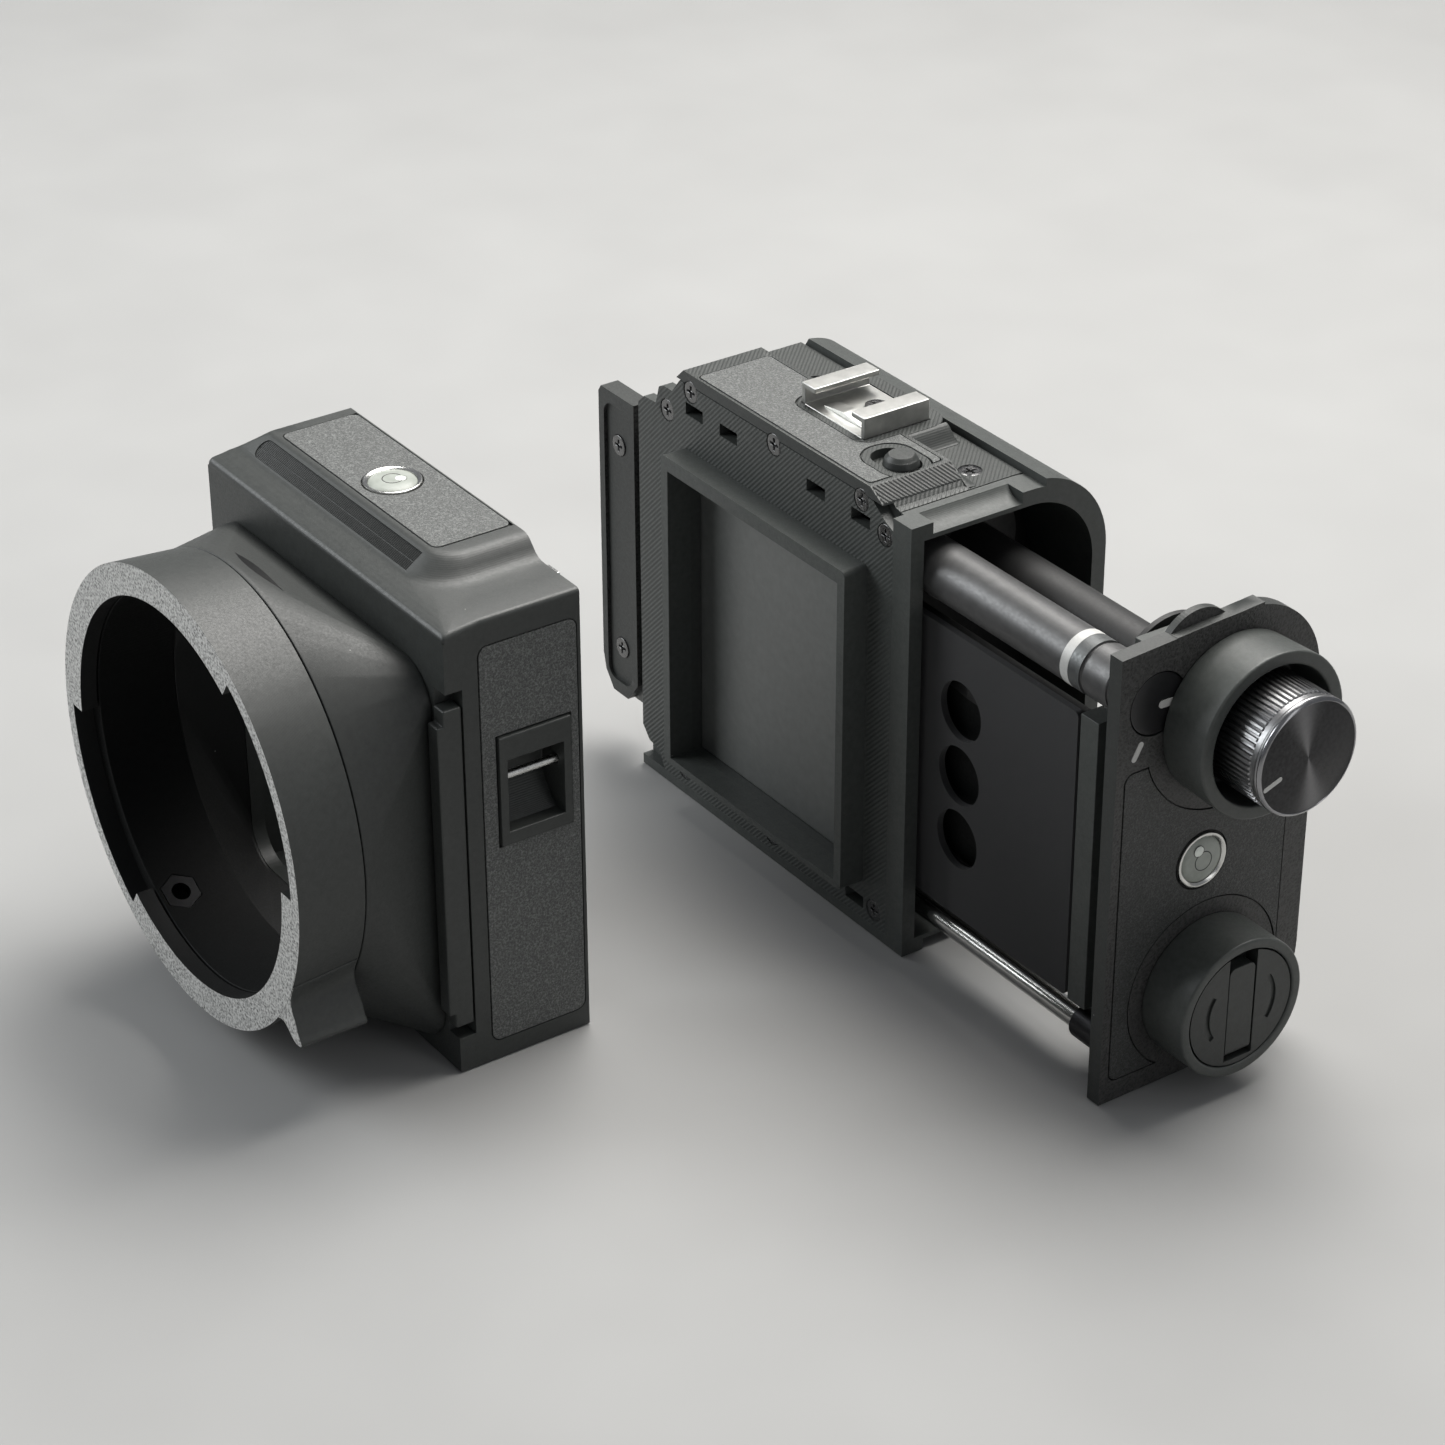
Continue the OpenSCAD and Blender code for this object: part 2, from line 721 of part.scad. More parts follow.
// outline of the inner wall and the lip behind the side plate
module block_outline(g) {
    front_z0 = rod_z + rod_r + 2.7;
    front_z1 = roller_z - roller_r - 2.7;
    d_rect(fy(17.5) + g, y_rear - inset - g, block_low + g, block_top - g,
        corner_r - inset - g);
    translate([carrier_front + g, front_z0 + g])
        square([fy(20) - carrier_front - g, front_z1 - front_z0 - 2 * g]);
}

module end_block() {
    color(printed) moved_insert() difference() {
        union() {
            along_x(block_x0, inner_t) block_outline(0);
            along_x(block_x0 + inner_t - eps, groove_t + 2 * eps) block_outline(3);
            along_x(x_right - lip_t, lip_t) block_outline(0);
        }
        rod_x(block_x0 - 1, x_right + 1, spool_y, spool_z, shaft_r + run);
        rod_x(block_x0 - 1, x_right + 1, supply_y, supply_z, 3 + run);
    }
}

module film_carrier() {
    top = block_top - 1;
    color(printed_dark) moved_insert() difference() {
        union() {
            along_x(bulk_x0, bulk_t)
                d_rect(carrier_front, y_rear - inset, wall + 1, top, corner_r - inset);
            box(bulk_x1 - eps, block_x0, web_y, web_y + web_t, press_z0 + web_inset,
                press_z1 - web_inset);
        }
        rod_x(bulk_x0 + 1.5, bulk_x1 + 1, roller_y, roller_z, 1.5 + run);
        rod_x(bulk_x0 + 1.5, bulk_x1 + 1, rod_y, rod_z, 1.5 + run);
        for (p = [[spool_y, spool_z], [supply_y, supply_z]])
            rod_x(bulk_x0 + 1.5, bulk_x1 + 1, p[0], p[1], nose_r);
    }
}

module side_leather() {
    color(leatherette) moved_insert()
        along_x(side_x1 - leather_t, leather_t + 0.1) side_leather_outline(0);
}

module knob_collar() {
    color(printed) moved_insert() difference() {
        translate([side_x1, spool_y, spool_z]) rotate([0, 90, 0])
            cylinder(h = collar_h, r1 = collar_r - 0.5, r2 = collar_r);
        rod_x(side_x1 + 1, side_x1 + collar_h + 1, spool_y, spool_z, collar_r - 2.9);
        rod_x(side_x1 - 1, side_x1 + 2, spool_y, spool_z, shaft_r + run);
    }
}

module key_collar() {
    color(printed) moved_insert() difference() {
        rod_x(side_x1, side_x1 + collar_h, supply_y, supply_z, key_collar_r);
        rod_x(side_x1 + 1, side_x1 + collar_h + 1, supply_y, supply_z, key_r + near);
        rod_x(side_x1 - 1, side_x1 + 2, supply_y, supply_z, 3 + run);
    }
}

// a level is a cup with a clear vial in it, drawn along +Z from z = 0
module level_cup() {
    difference() {
        cylinder(h = 2.9, r = level_r);
        translate([0, 0, 0.9]) cylinder(h = 3, r = level_r - 1);
    }
}

module level_vial() {
    translate([0, 0, 0.9]) cylinder(h = 1.7, r = level_r - 1);
    translate([0, 0, 2.6 - eps]) cylinder(h = 0.5, r1 = level_r - 1, r2 = level_r - 1.8);
}

module on_side_level() {
    translate([side_x1 - 2.4, level_y, level_z]) rotate([0, 90, 0]) children();
}

module back_level_cup() {
    color(steel) moved_insert() on_side_level() level_cup();
}

module back_level_vial() {
    color(clear) moved_insert() on_side_level() level_vial();
}

module pressure_plate() {
    color(flock) moved_insert() along_y(press_y, press_t) difference() {
        round_rect(bulk_x1 + 0.6, press_z0, block_x0 - 0.6, press_z1, 1);
        for (i = [-1, 0, 1])
            translate([rx(49.7), gate_z + i * hole_pitch]) circle(d = press_hole);
    }
}

module plate_springs() {
    y0 = press_y + press_t;
    color(steel) moved_insert() for (z = [press_z0 + 9.4, press_z1 - 11.1])
        along_z(z - 3, 6) polygon([
            [gate_cx - 18, web_y], [gate_cx - 18, web_y - 0.35], [gate_cx - 3, y0],
            [gate_cx + 3, y0], [gate_cx + 18, web_y - 0.35], [gate_cx + 18, web_y],
            [gate_cx + 14, web_y], [gate_cx + 3, y0 + 0.35], [gate_cx - 3, y0 + 0.35],
            [gate_cx - 14, web_y]
        ]);
}

module advance_knob() {
    x0 = side_x1 + 2.6;
    x1 = side_x1 + knob_h;
    color(black_metal) moved_insert() difference() {
        union() {
            rod_x(x0, x1 - 0.9, spool_y, spool_z, knob_r);
            translate([x1 - 0.9 - eps, spool_y, spool_z]) rotate([0, 90, 0])
                cylinder(h = 0.9 + eps, r1 = knob_r, r2 = knob_r - 0.9);
        }
        rod_x(x0 - 1, x0 + 12, spool_y, spool_z, shaft_r);
    }
}

module advance_shaft() {
    x0 = spool_x1 + 0.6;
    color(steel) moved_insert() {
        rod_x(x0, side_x1 + 2.6 + 12, spool_y, spool_z, shaft_r);
        rod_x(x0 - nose_len, x0 + eps, spool_y, spool_z, nose_r);
        // drive blade that sits in the spool's slot
        box(x0 - 2.4, x0 + eps, spool_y - 0.5, spool_y + 0.5, spool_z - 3.6, spool_z + 3.6);
    }
}

module take_up_spool() {
    color(black_metal) moved_insert() difference() {
        union() {
            rod_x(spool_x0, spool_x1, spool_y, spool_z, 6);
            for (x = [spool_x0, spool_x1 - 1.2])
                rod_x(x, x + 1.2, spool_y, spool_z, spool_r);
        }
        for (x = [spool_x0 - 1, spool_x1 - 4])
            rod_x(x, x + 5, spool_y, spool_z, nose_r + 0.1);
        for (x = [spool_x0 - 1, spool_x1 - 3])
            box(x, x + 4, spool_y - 0.65, spool_y + 0.65, spool_z - 4, spool_z + 4);
        // slot through the core that takes the film's tongue
        box(gate_cx - 22, gate_cx + 22, spool_y - 9, spool_y + 9, spool_z - 0.8, spool_z + 0.8);
    }
}

module counter_roller() {
    x1 = x_right - 0.4;
    groove = 0.5;
    color(black_metal) moved_insert() difference() {
        union() {
            rod_x(bulk_x1 + 0.4, x1, roller_y, roller_z, roller_r);
            rod_x(bulk_x0 + 1.8, side_x1 - 0.2, roller_y, roller_z, 1.5);
        }
        // two turned grooves near the dial end
        for (d = [12.4, 4.6])
            difference() {
                rod_x(x1 - d, x1 - d + 0.8, roller_y, roller_z, roller_r + 1);
                rod_x(x1 - d - 1, x1 - d + 2, roller_y, roller_z, roller_r - groove);
            }
    }
}

module counter_dial() {
    color(black_metal) moved_insert() difference() {
        rod_x(side_x1 - 1.4, side_x1 - 0.2, roller_y, roller_z, dial_r);
        rod_x(side_x1 - 2, side_x1 + 1, roller_y, roller_z, 1.5);
    }
}

module guide_rod() {
    color(steel) moved_insert() {
        rod_x(bulk_x1 + 0.4, x_right - 11.5, rod_y, rod_z, rod_r);
        rod_x(bulk_x0 + 1.8, bulk_x1 + 0.4 + eps, rod_y, rod_z, 1.5);
        rod_x(x_right - 11.5 - eps, x_right + 1.2, rod_y, rod_z, 1.5);
    }
}

module rod_sleeve() {
    color(black_metal) moved_insert() difference() {
        rod_x(x_right - 11.4, x_right - 0.4, rod_y, rod_z, 3.6);
        rod_x(x_right - 12, x_right + 1, rod_y, rod_z, 1.5);
    }
}

module spool_pins() {
    color(steel) moved_insert()
        for (p = [[spool_y, spool_z], [supply_y, supply_z]])
            rod_x(bulk_x0 + 1.5, spool_x0 + nose_len, p[0], p[1], nose_r);
}

module supply_plunger() {
    x0 = spool_x1 + 0.6;
    color(steel) moved_insert() {
        rod_x(x0, side_x1 + 8, supply_y, supply_z, 3);
        rod_x(x0 - nose_len, x0 + eps, supply_y, supply_z, nose_r);
    }
}

key_x0 = side_x1 + 4;
key_x1 = side_x1 + collar_h - 0.3;
key_pivot_z = supply_z - key_r + 3.4;
grip_half = 1.5;
key_pivot_x = key_x1 - grip_half - 0.1;

module supply_key() {
    color(printed) moved_insert() difference() {
        rod_x(key_x0, key_x1, supply_y, supply_z, key_r);
        rod_x(key_x0 - 1, side_x1 + 8, supply_y, supply_z, 3 + run);
        // groove of the folding grip, open at the finger end
        box(key_pivot_x - grip_half - near, key_x1 + 1, supply_y - key_grip_w / 2 - near,
            supply_y + key_grip_w / 2 + near, key_pivot_z - 2.2, supply_z + key_r + 1);
        rod_y(supply_y - key_r, supply_y + key_r, key_pivot_x, key_pivot_z, 0.8);
        // two curved arrows
        for (s = [0, 180])
            translate([key_x1 - 0.5, supply_y, supply_z]) rotate([s, 0, 0]) rotate([90, 0, 90])
                rotate_extrude(angle = 70, start = -35) translate([7.9, 0]) square([1.1, 2]);
    }
}

module key_grip() {
    y0 = supply_y - key_grip_w / 2;
    y1 = supply_y + key_grip_w / 2;
    top = supply_z + key_r - 3;
    color(printed) moved_insert() difference() {
        union() {
            along_x(key_pivot_x - grip_half, 2 * grip_half) {
                translate([y0, key_pivot_z]) square([key_grip_w, 4]);
                round_rect(y0, key_pivot_z, y1, top, 1.5);
            }
            rod_y(y0, y1, key_pivot_x, key_pivot_z, grip_half);
        }
        rod_y(y0 - 1, y1 + 1, key_pivot_x, key_pivot_z, 0.8 + run);
    }
}

module key_grip_pin() {
    reach = key_grip_w / 2 + 2.4;
    color(steel) moved_insert()
        rod_y(supply_y - reach, supply_y + reach, key_pivot_x, key_pivot_z, 0.8);
}

// ---- lens body, drawn in its own frame ----
module lens_box_outline() {
    // section across the box, (Y, Z), with the deck's sloping front
    polygon([
        [0, 0], [lens_d, 0], [lens_d, lens_top], [12, lens_top], [5, lens_h], [0, lens_h - 1.2]
    ]);
}

module lens_deck_sides() {
    // front view of the deck, (X, Z), with its sloping ends
    polygon([
        [-lens_w, -1], [0, -1], [0, lens_h], [-12, lens_h], [-20, lens_top],
        [-lens_w + 6, lens_top], [-lens_w + 0.5, lens_h], [-lens_w, lens_h]
    ]);
}

module lens_deck_outline(g) {
    round_rect(-lens_w + 9 - g, 12.5 - g, -23 + g, lens_d - 0.6 + g, 1.6 + g);
}

module lens_side_outline(g) {
    difference() {
        round_rect(7.6 - g, 4.5 - g, lens_d - 1 + g, lens_h - 6 + g, 2 + g);
        translate([strap_y0 - 0.4 + g, strap_z0 - 0.4 + g])
            square([strap_y1 - strap_y0 + 0.8 - 2 * g, strap_z1 - strap_z0 + 0.8 - 2 * g]);
    }
}

// the same piece on the right side and, mirrored, on the left
module both_sides() {
    children();
    translate([-lens_w, 0, 0]) mirror([1, 0, 0]) children();
}

module lens_opening(g) {
    // rear mouth that takes the gate hood
    box(mouth_x0 - g, mouth_x1 + g, -1, lens_d + 1, mouth_z0 - g, mouth_z1 + g);
}

// front opening of the box, and the cone's narrow end behind it, (X, Z)
module throat_outline() {
    round_rect(-lens_w + 8, 8, -9, lens_h - 16, 8);
}

module lens_housing() {
    w = lens_wall;
    color(printed) moved_lens() difference() {
        union() {
            difference() {
                intersection() {
                    along_x(-lens_w, lens_w) lens_box_outline();
                    along_y(-1, lens_d + 2) lens_deck_sides();
                }
                box(-lens_w + w, -w, w, lens_d + 1, w, lens_h - w);
            }
            // post behind the latch bar, and the boss of the tripod bush
            box(-9, -w + eps, w - eps, 8, w - eps, lens_h - w + eps);
            rod_z(w - eps, bush_h + 1.5, -ring_x, 15, bush_r + 3);
        }
        // way through to the cone
        along_y(-1, w + 2) throat_outline();
        // channel of the latch bar
        box(-4, 1, -1, 3.8, 8, lens_h - 13.6);
        along_z(lens_top - leather_t, 9) lens_deck_outline(leather_gap);
        both_sides() along_x(-leather_t, 9) lens_side_outline(leather_gap);
        both_sides() box(-strap_depth, 9, strap_y0 - fit_gap, strap_y1 + fit_gap,
            strap_z0 - fit_gap, strap_z1 + fit_gap);
        rod_z(lens_top - 2.4, lens_top + 1, lens_level_x, lens_level_y, level_r + 0.05);
        rod_z(-1, bush_h, -ring_x, 15, bush_r);
    }
}

module lens_cone() {
    r1 = ring_r - 1.1;
    color(printed) moved_lens() difference() {
        hull() {
            along_y(-0.8, 0.8) round_rect(-lens_w + 4, 3, -5, lens_h - 11, 9, $fn = 32);
            rod_y(-cone_d, -cone_d + 1, -ring_x, ring_z, r1);
        }
        hull() {
            along_y(-0.6, 1) throat_outline($fn = 32);
            rod_y(-cone_d + 5.4, -cone_d + 6, -ring_x, ring_z, seat_r);
        }
        rod_y(-cone_d - 1, -cone_d + 6, -ring_x, ring_z, tube_r + 0.02);
    }
}

module lens_seat() {
    y0 = -cone_d - ring_d + 4;
    y1 = -cone_d + 5.9;
    color(printed_dark) moved_lens() difference() {
        rod_y(y0, y1, -ring_x, ring_z, tube_r);
        rod_y(y0 - 1, y1 + 1, -ring_x, ring_z, seat_r);
        place_seat_nut() nut(near / 3);
    }
}

module place_seat_nut() {
    translate([-ring_x, -cone_d - 6.5, ring_z]) rotate([0, 30, 0])
        translate([0, 0, -seat_r]) children();
}

module nut(g) {
    translate([0, 0, -2.6 - g]) cylinder(h = 2.6 + g + (g > 0 ? 5 : 0), r = 4.2 + g, $fn = 6);
}

module seat_nut() {
    color(steel) moved_lens() place_seat_nut() difference() {
        nut(0);
        translate([0, 0, -9]) cylinder(h = 12, r = 2);
    }
}

module lock_ring() {
    y0 = -cone_d - ring_d;
    tab_a = -38;
    color(printed) moved_lens() {
        difference() {
            union() {
                translate([-ring_x, y0, ring_z]) rotate([-90, 0, 0])
                    cylinder(h = ring_d - near, r1 = ring_r, r2 = ring_r - 1.1);
                // thumb tab at the lower right
                along_y(y0 + 2, ring_d - near - 2.6) difference() {
                    translate([-ring_x, ring_z]) rotate(tab_a) polygon([
                        [ring_r - 2.5, -19], [ring_r + 7, -1.6], [ring_r + 8.2, 0.6],
                        [ring_r + 7.4, 2], [ring_r - 1, 4.6], [ring_r - 3, 4.6]
                    ]);
                    translate([-ring_x, ring_z]) circle(r = ring_r - 2);
                }
            }
            rod_y(y0 + 3.6, 1, -ring_x, ring_z, ring_r - ring_wall);
            rod_y(y0 - 1, y0 + 4, -ring_x, ring_z, lug_r);
            // two gaps in the bayonet lip
            translate([-ring_x, y0 + 4, ring_z]) rotate([90, 0, 0]) for (a = [0, 180])
                rotate_extrude(angle = 56, start = a) translate([lug_r - 1, -1])
                    square([ring_r - ring_wall - lug_r + 1, 6]);
        }
    }
}

module lens_deck_leather() {
    color(leatherette) moved_lens() difference() {
        along_z(lens_top - leather_t, leather_t + 0.1) lens_deck_outline(0);
        rod_z(lens_top - 2, lens_top + 1, lens_level_x, lens_level_y, level_r + 0.3);
    }
}

module lens_side_leather() {
    color(leatherette) moved_lens() both_sides()
        along_x(-leather_t, leather_t + 0.1) lens_side_outline(0);
}

module strap_frames() {
    color(printed) moved_lens() both_sides() difference() {
        box(-strap_depth, strap_proud, strap_y0, strap_y1, strap_z0, strap_z1);
        box(-strap_depth + 1.5, 2, strap_y0 + strap_rim, strap_y1 - strap_rim,
            strap_z0 + 2.9, strap_z1 - 5.4);
        rod_y(strap_y0 + 0.6, strap_y1 - 0.6, pin_x, pin_z, pin_r);
    }
}

module strap_pins() {
    color(steel) moved_lens() both_sides()
        rod_y(strap_y0 + 0.6, strap_y1 - 0.6, pin_x, pin_z, pin_r);
}

module latch_bar() {
    color(printed) moved_lens() difference() {
        box(-3.7, 0, -2, 3.5, 10.8, lens_h - 17.1);
        for (z = [9, lens_h - 20.4])
            box(-5, 1, -3, -0.6, z, z + 5);
    }
}

// middle of a hook slot in the lens body's own frame
function hook_x(d) = dock_inset - d;

module hook_plate() {
    inner = lens_wall + near;
    hole_z0 = slot_rows[0] + hook_h / 2 + low_rail;
    hole_z1 = slot_rows[1] - hook_h / 2 - top_rail;
    color(steel) moved_lens() {
        along_y(hook_y, hook_t) difference() {
            translate([-lens_w + inner, inner])
                square([lens_w - 2 * inner - hook_travel, lens_h - 2 * inner]);
            translate([-lens_w + 8, hole_z0])
                square([lens_w - 16.5 - hook_travel, hole_z1 - hole_z0]);
        }
        for (d = slot_places, z = slot_rows) translate([hook_x(d) + hook_start, 0, z - hook_h / 2]) {
            translate([0, hook_y + hook_t - eps, 0])
                cube([neck_w, lens_d - hook_y - hook_t + dock_gap + plate_t + 0.2, hook_h]);
            translate([0, lens_d + dock_gap + plate_t + 0.2 - 2 * eps, 0])
                cube([head_w, 1.2, hook_h]);
        }
    }
}

module rear_frame() {
    w = lens_wall;
    color(printed) moved_lens() difference() {
        box(-lens_w + w, -w, lens_d - frame_t, lens_d, w, lens_h - w);
        lens_opening(0);
        for (d = slot_places, z = slot_rows)
            translate([hook_x(d) + hook_start - 0.2, lens_d - 9, z - hook_h / 2 - near])
                cube([neck_w + hook_travel + 0.4, 20, hook_h + 2 * near]);
    }
}

module rear_baffle() {
    w = lens_wall;
    color(printed_dark) moved_lens() difference() {
        box(-lens_w + w, -w, baffle_y, baffle_y + baffle_t, w, lens_h - w);
        lens_opening(0.8);
        both_sides() box(-strap_depth - near, 1, strap_y0 - 1, strap_y1 + near,
            strap_z0 - near, strap_z1 + near);
    }
}

module on_lens_level() {
    translate([lens_level_x, lens_level_y, lens_top - 2.4]) children();
}

module lens_level_cup() {
    color(steel) moved_lens() on_lens_level() level_cup();
}

module lens_level_vial() {
    color(clear) moved_lens() on_lens_level() level_vial();
}

module tripod_bush() {
    color(steel) moved_lens() difference() {
        rod_z(0, bush_h, -ring_x, 15, bush_r);
        rod_z(-1, bush_h - 1, -ring_x, 15, 3.2);
    }
}

back_shell();
front_plate();
gate_hood();
slide_guide();
top_cover();
deck_leather();
accessory_shoe();
shoe_spring();
cover_screws();
plate_screws();
dark_slide_sheet();
dark_slide_handle();
handle_screws();
release_button();
button_spring();
side_plate();
end_block();
film_carrier();
side_leather();
knob_collar();
key_collar();
back_level_cup();
back_level_vial();
pressure_plate();
plate_springs();
advance_knob();
advance_shaft();
take_up_spool();
counter_roller();
counter_dial();
guide_rod();
rod_sleeve();
spool_pins();
supply_plunger();
supply_key();
key_grip();
key_grip_pin();
lens_housing();
lens_cone();
lens_seat();
lock_ring();
seat_nut();
lens_deck_leather();
lens_side_leather();
strap_frames();
strap_pins();
latch_bar();
hook_plate();
rear_frame();
rear_baffle();
lens_level_cup();
lens_level_vial();
tripod_bush();
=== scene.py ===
import bmesh
import bpy
import json
import math
from mathutils import Matrix, Vector


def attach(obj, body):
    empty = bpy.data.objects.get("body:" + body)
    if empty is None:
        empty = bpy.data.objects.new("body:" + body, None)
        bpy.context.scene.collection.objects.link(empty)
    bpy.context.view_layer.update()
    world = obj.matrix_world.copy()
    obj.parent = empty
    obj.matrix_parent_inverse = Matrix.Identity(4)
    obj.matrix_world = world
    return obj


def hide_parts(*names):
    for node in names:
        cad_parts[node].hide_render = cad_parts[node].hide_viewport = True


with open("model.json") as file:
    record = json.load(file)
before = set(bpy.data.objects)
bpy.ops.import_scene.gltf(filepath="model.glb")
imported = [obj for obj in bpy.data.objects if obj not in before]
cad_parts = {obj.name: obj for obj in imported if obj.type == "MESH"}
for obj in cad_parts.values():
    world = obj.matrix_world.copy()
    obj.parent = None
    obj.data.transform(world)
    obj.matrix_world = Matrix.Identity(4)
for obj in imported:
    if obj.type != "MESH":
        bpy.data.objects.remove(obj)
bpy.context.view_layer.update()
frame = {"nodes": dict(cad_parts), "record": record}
MM = 0.001
SAME_POINT = 2e-6  # metres
FLAT_DEGREES = 0.4
ALONG_X, ALONG_Z = (1, 0, 0), (0, 0, 1)
# points on axes, in mm
THROAT = (-14.7, 0, 53.0)
KNOB = (0, 2.8, 80.6)
ROLLER = (0, -15.7, 88.0)
# the knob's turned face: rings RING_PITCH mm apart, and painted highlight in two pale wedges,
# along the way given next
RING_PITCH = 0.16
PAINTED_HIGHLIGHT_WAY = (0, -0.19, 0.98)
PAINTED_HIGHLIGHT_NARROWNESS = 26.0
BODY_OF = {n: b for b, ns in frame["record"]["behaviour"]["bodies"].items() for n in ns}


# ---------------------------------------------------------------- materials
class Nodes:
    """A material with short calls for the nodes that it is made of."""

    def __init__(self, name):
        self.mat = bpy.data.materials.new(name)
        self.mat.use_nodes = True
        self.tree = self.mat.node_tree
        self.shader = self.tree.nodes["Principled BSDF"]
        coords = self.tree.nodes.new("ShaderNodeTexCoord")
        self.place = coords.outputs["Object"]
        self.height = None

    def add(self, kind, inputs=(), **settings):
        node = self.tree.nodes.new("ShaderNode" + kind)
        for key, value in settings.items():
            setattr(node, key, value)
        for key, value in dict(inputs).items():
            self.put(node.inputs[key], value)
        return node

    def put(self, socket, value):
        if isinstance(value, bpy.types.NodeSocket):
            self.tree.links.new(value, socket)
        else:
            socket.default_value = value

    def math(self, operation, a, b=0.0):
        return self.add("Math", {0: a, 1: b}, operation=operation).outputs[0]

    def vector(self, operation, a, b, output="Vector"):
        node = self.add("VectorMath", {0: a, 1: Vector(b) if isinstance(b, tuple) else b},
                        operation=operation)
        return node.outputs[output]

    def noise(self, size, detail=3.0, rough=0.55):
        node = self.add("TexNoise", {"Vector": self.place, "Scale": 1 / (size * MM),
                                     "Detail": detail, "Roughness": rough})
        return node.outputs["Fac"]

    def cells(self, size, feature="F1"):
        node = self.add("TexVoronoi", {"Vector": self.place, "Scale": 1 / (size * MM)},
                        feature=feature)
        return node.outputs["Distance"]

    def ramp(self, value, low, high, a=0.0, b=1.0):
        node = self.add("MapRange", {"Value": value, "From Min": low, "From Max": high,
                                     "To Min": a, "To Max": b}, clamp=True)
        return node.outputs["Result"]

    def lines(self, direction, pitch):
        """0 to 1 ripples along a direction, pitch mm apart."""
        dot = self.vector("DOT_PRODUCT", self.place, Vector(direction).normalized(), "Value")
        wave = self.math("SINE", self.math("MULTIPLY", dot, 2 * math.pi / (pitch * MM)))
        return self.math("MULTIPLY_ADD", wave, 0.5)

    def distance_to_axis(self, point, axis):
        """Distance in mm from a line through point along axis."""
        away = self.vector("SUBTRACT", self.place, Vector(point) * MM)
        across = self.vector("CROSS_PRODUCT", away, Vector(axis).normalized())
        size = self.add("VectorMath", {0: across}, operation="LENGTH").outputs["Value"]
        return self.math("MULTIPLY", size, 1 / MM)

    def facing(self, axis):
        """1 where the surface faces along axis in the object's own space, else 0."""
        normal = self.add("TexCoord").outputs["Normal"]
        return self.ramp(self.vector("DOT_PRODUCT", normal, axis, "Value"), 0.6, 0.8)

    def turned_in(self, point):
        """1 where the surface faces a Y axis through point, else 0."""
        away = self.vector("SUBTRACT", self.place, Vector(point) * MM)
        out = self.unit(self.vector("MULTIPLY", away, (1, 0, 1)))
        normal = self.add("TexCoord").outputs["Normal"]
        return self.ramp(self.vector("DOT_PRODUCT", out, normal, "Value"), -0.1, -0.3)

    def unit(self, value):
        return self.add("VectorMath", {0: value}, operation="NORMALIZE").outputs["Vector"]

    def bump(self, value, depth):
        """Adds a height of up to depth mm to the surface."""
        node = self.add("Bump", {"Height": value, "Distance": depth * MM, "Strength": 1.0})
        if self.height is not None:
            self.put(node.inputs["Normal"], self.height)
        self.height = node.outputs["Normal"]
        self.put(self.shader.inputs["Normal"], self.height)

    def colour(self, value, *stops):
        """A colour from a value, by (position, colour) stops."""
        ramp = self.add("ValToRGB", {"Fac": value})
        while len(ramp.color_ramp.elements) < len(stops):
            ramp.color_ramp.elements.new(0.5)
        for element, (position, colour) in zip(ramp.color_ramp.elements, stops):
            element.position = position
            element.color = (*colour, 1)
        return ramp.outputs["Color"]

    def mix(self, factor, a, b):
        node = self.add("Mix", data_type="RGBA")
        self.put(node.inputs["Factor"], factor)
        self.put(node.inputs["A"], a)
        self.put(node.inputs["B"], b)
        return node.outputs["Result"]

    def dust(self, colour, spacing=5.0, amount=0.5):
        """A few pale specks of dust over a colour."""
        near = self.cells(spacing)
        speck = self.ramp(near, 0.016, 0.030, 1.0, 0.0)
        some = self.ramp(self.noise(9.0, 1.0), 0.52, 0.60)
        return self.mix(self.math("MULTIPLY", self.math("MULTIPLY", speck, some), amount),
                        colour, DUST)

    def set(self, **values):
        """Puts values on the shader's inputs; _ stands for a space in their names."""
        for key, value in values.items():
            self.put(self.shader.inputs[key.replace("_", " ")], value)
        return self


def shade(colour, factor):
    return tuple(c * factor for c in colour)


DUST = (0.42, 0.42, 0.40, 1)
CHARCOAL = (0.030, 0.033, 0.031)
INNER = (0.011, 0.012, 0.012)
GREY = (0.031, 0.031, 0.030)
LEATHER = (0.046, 0.048, 0.0465)


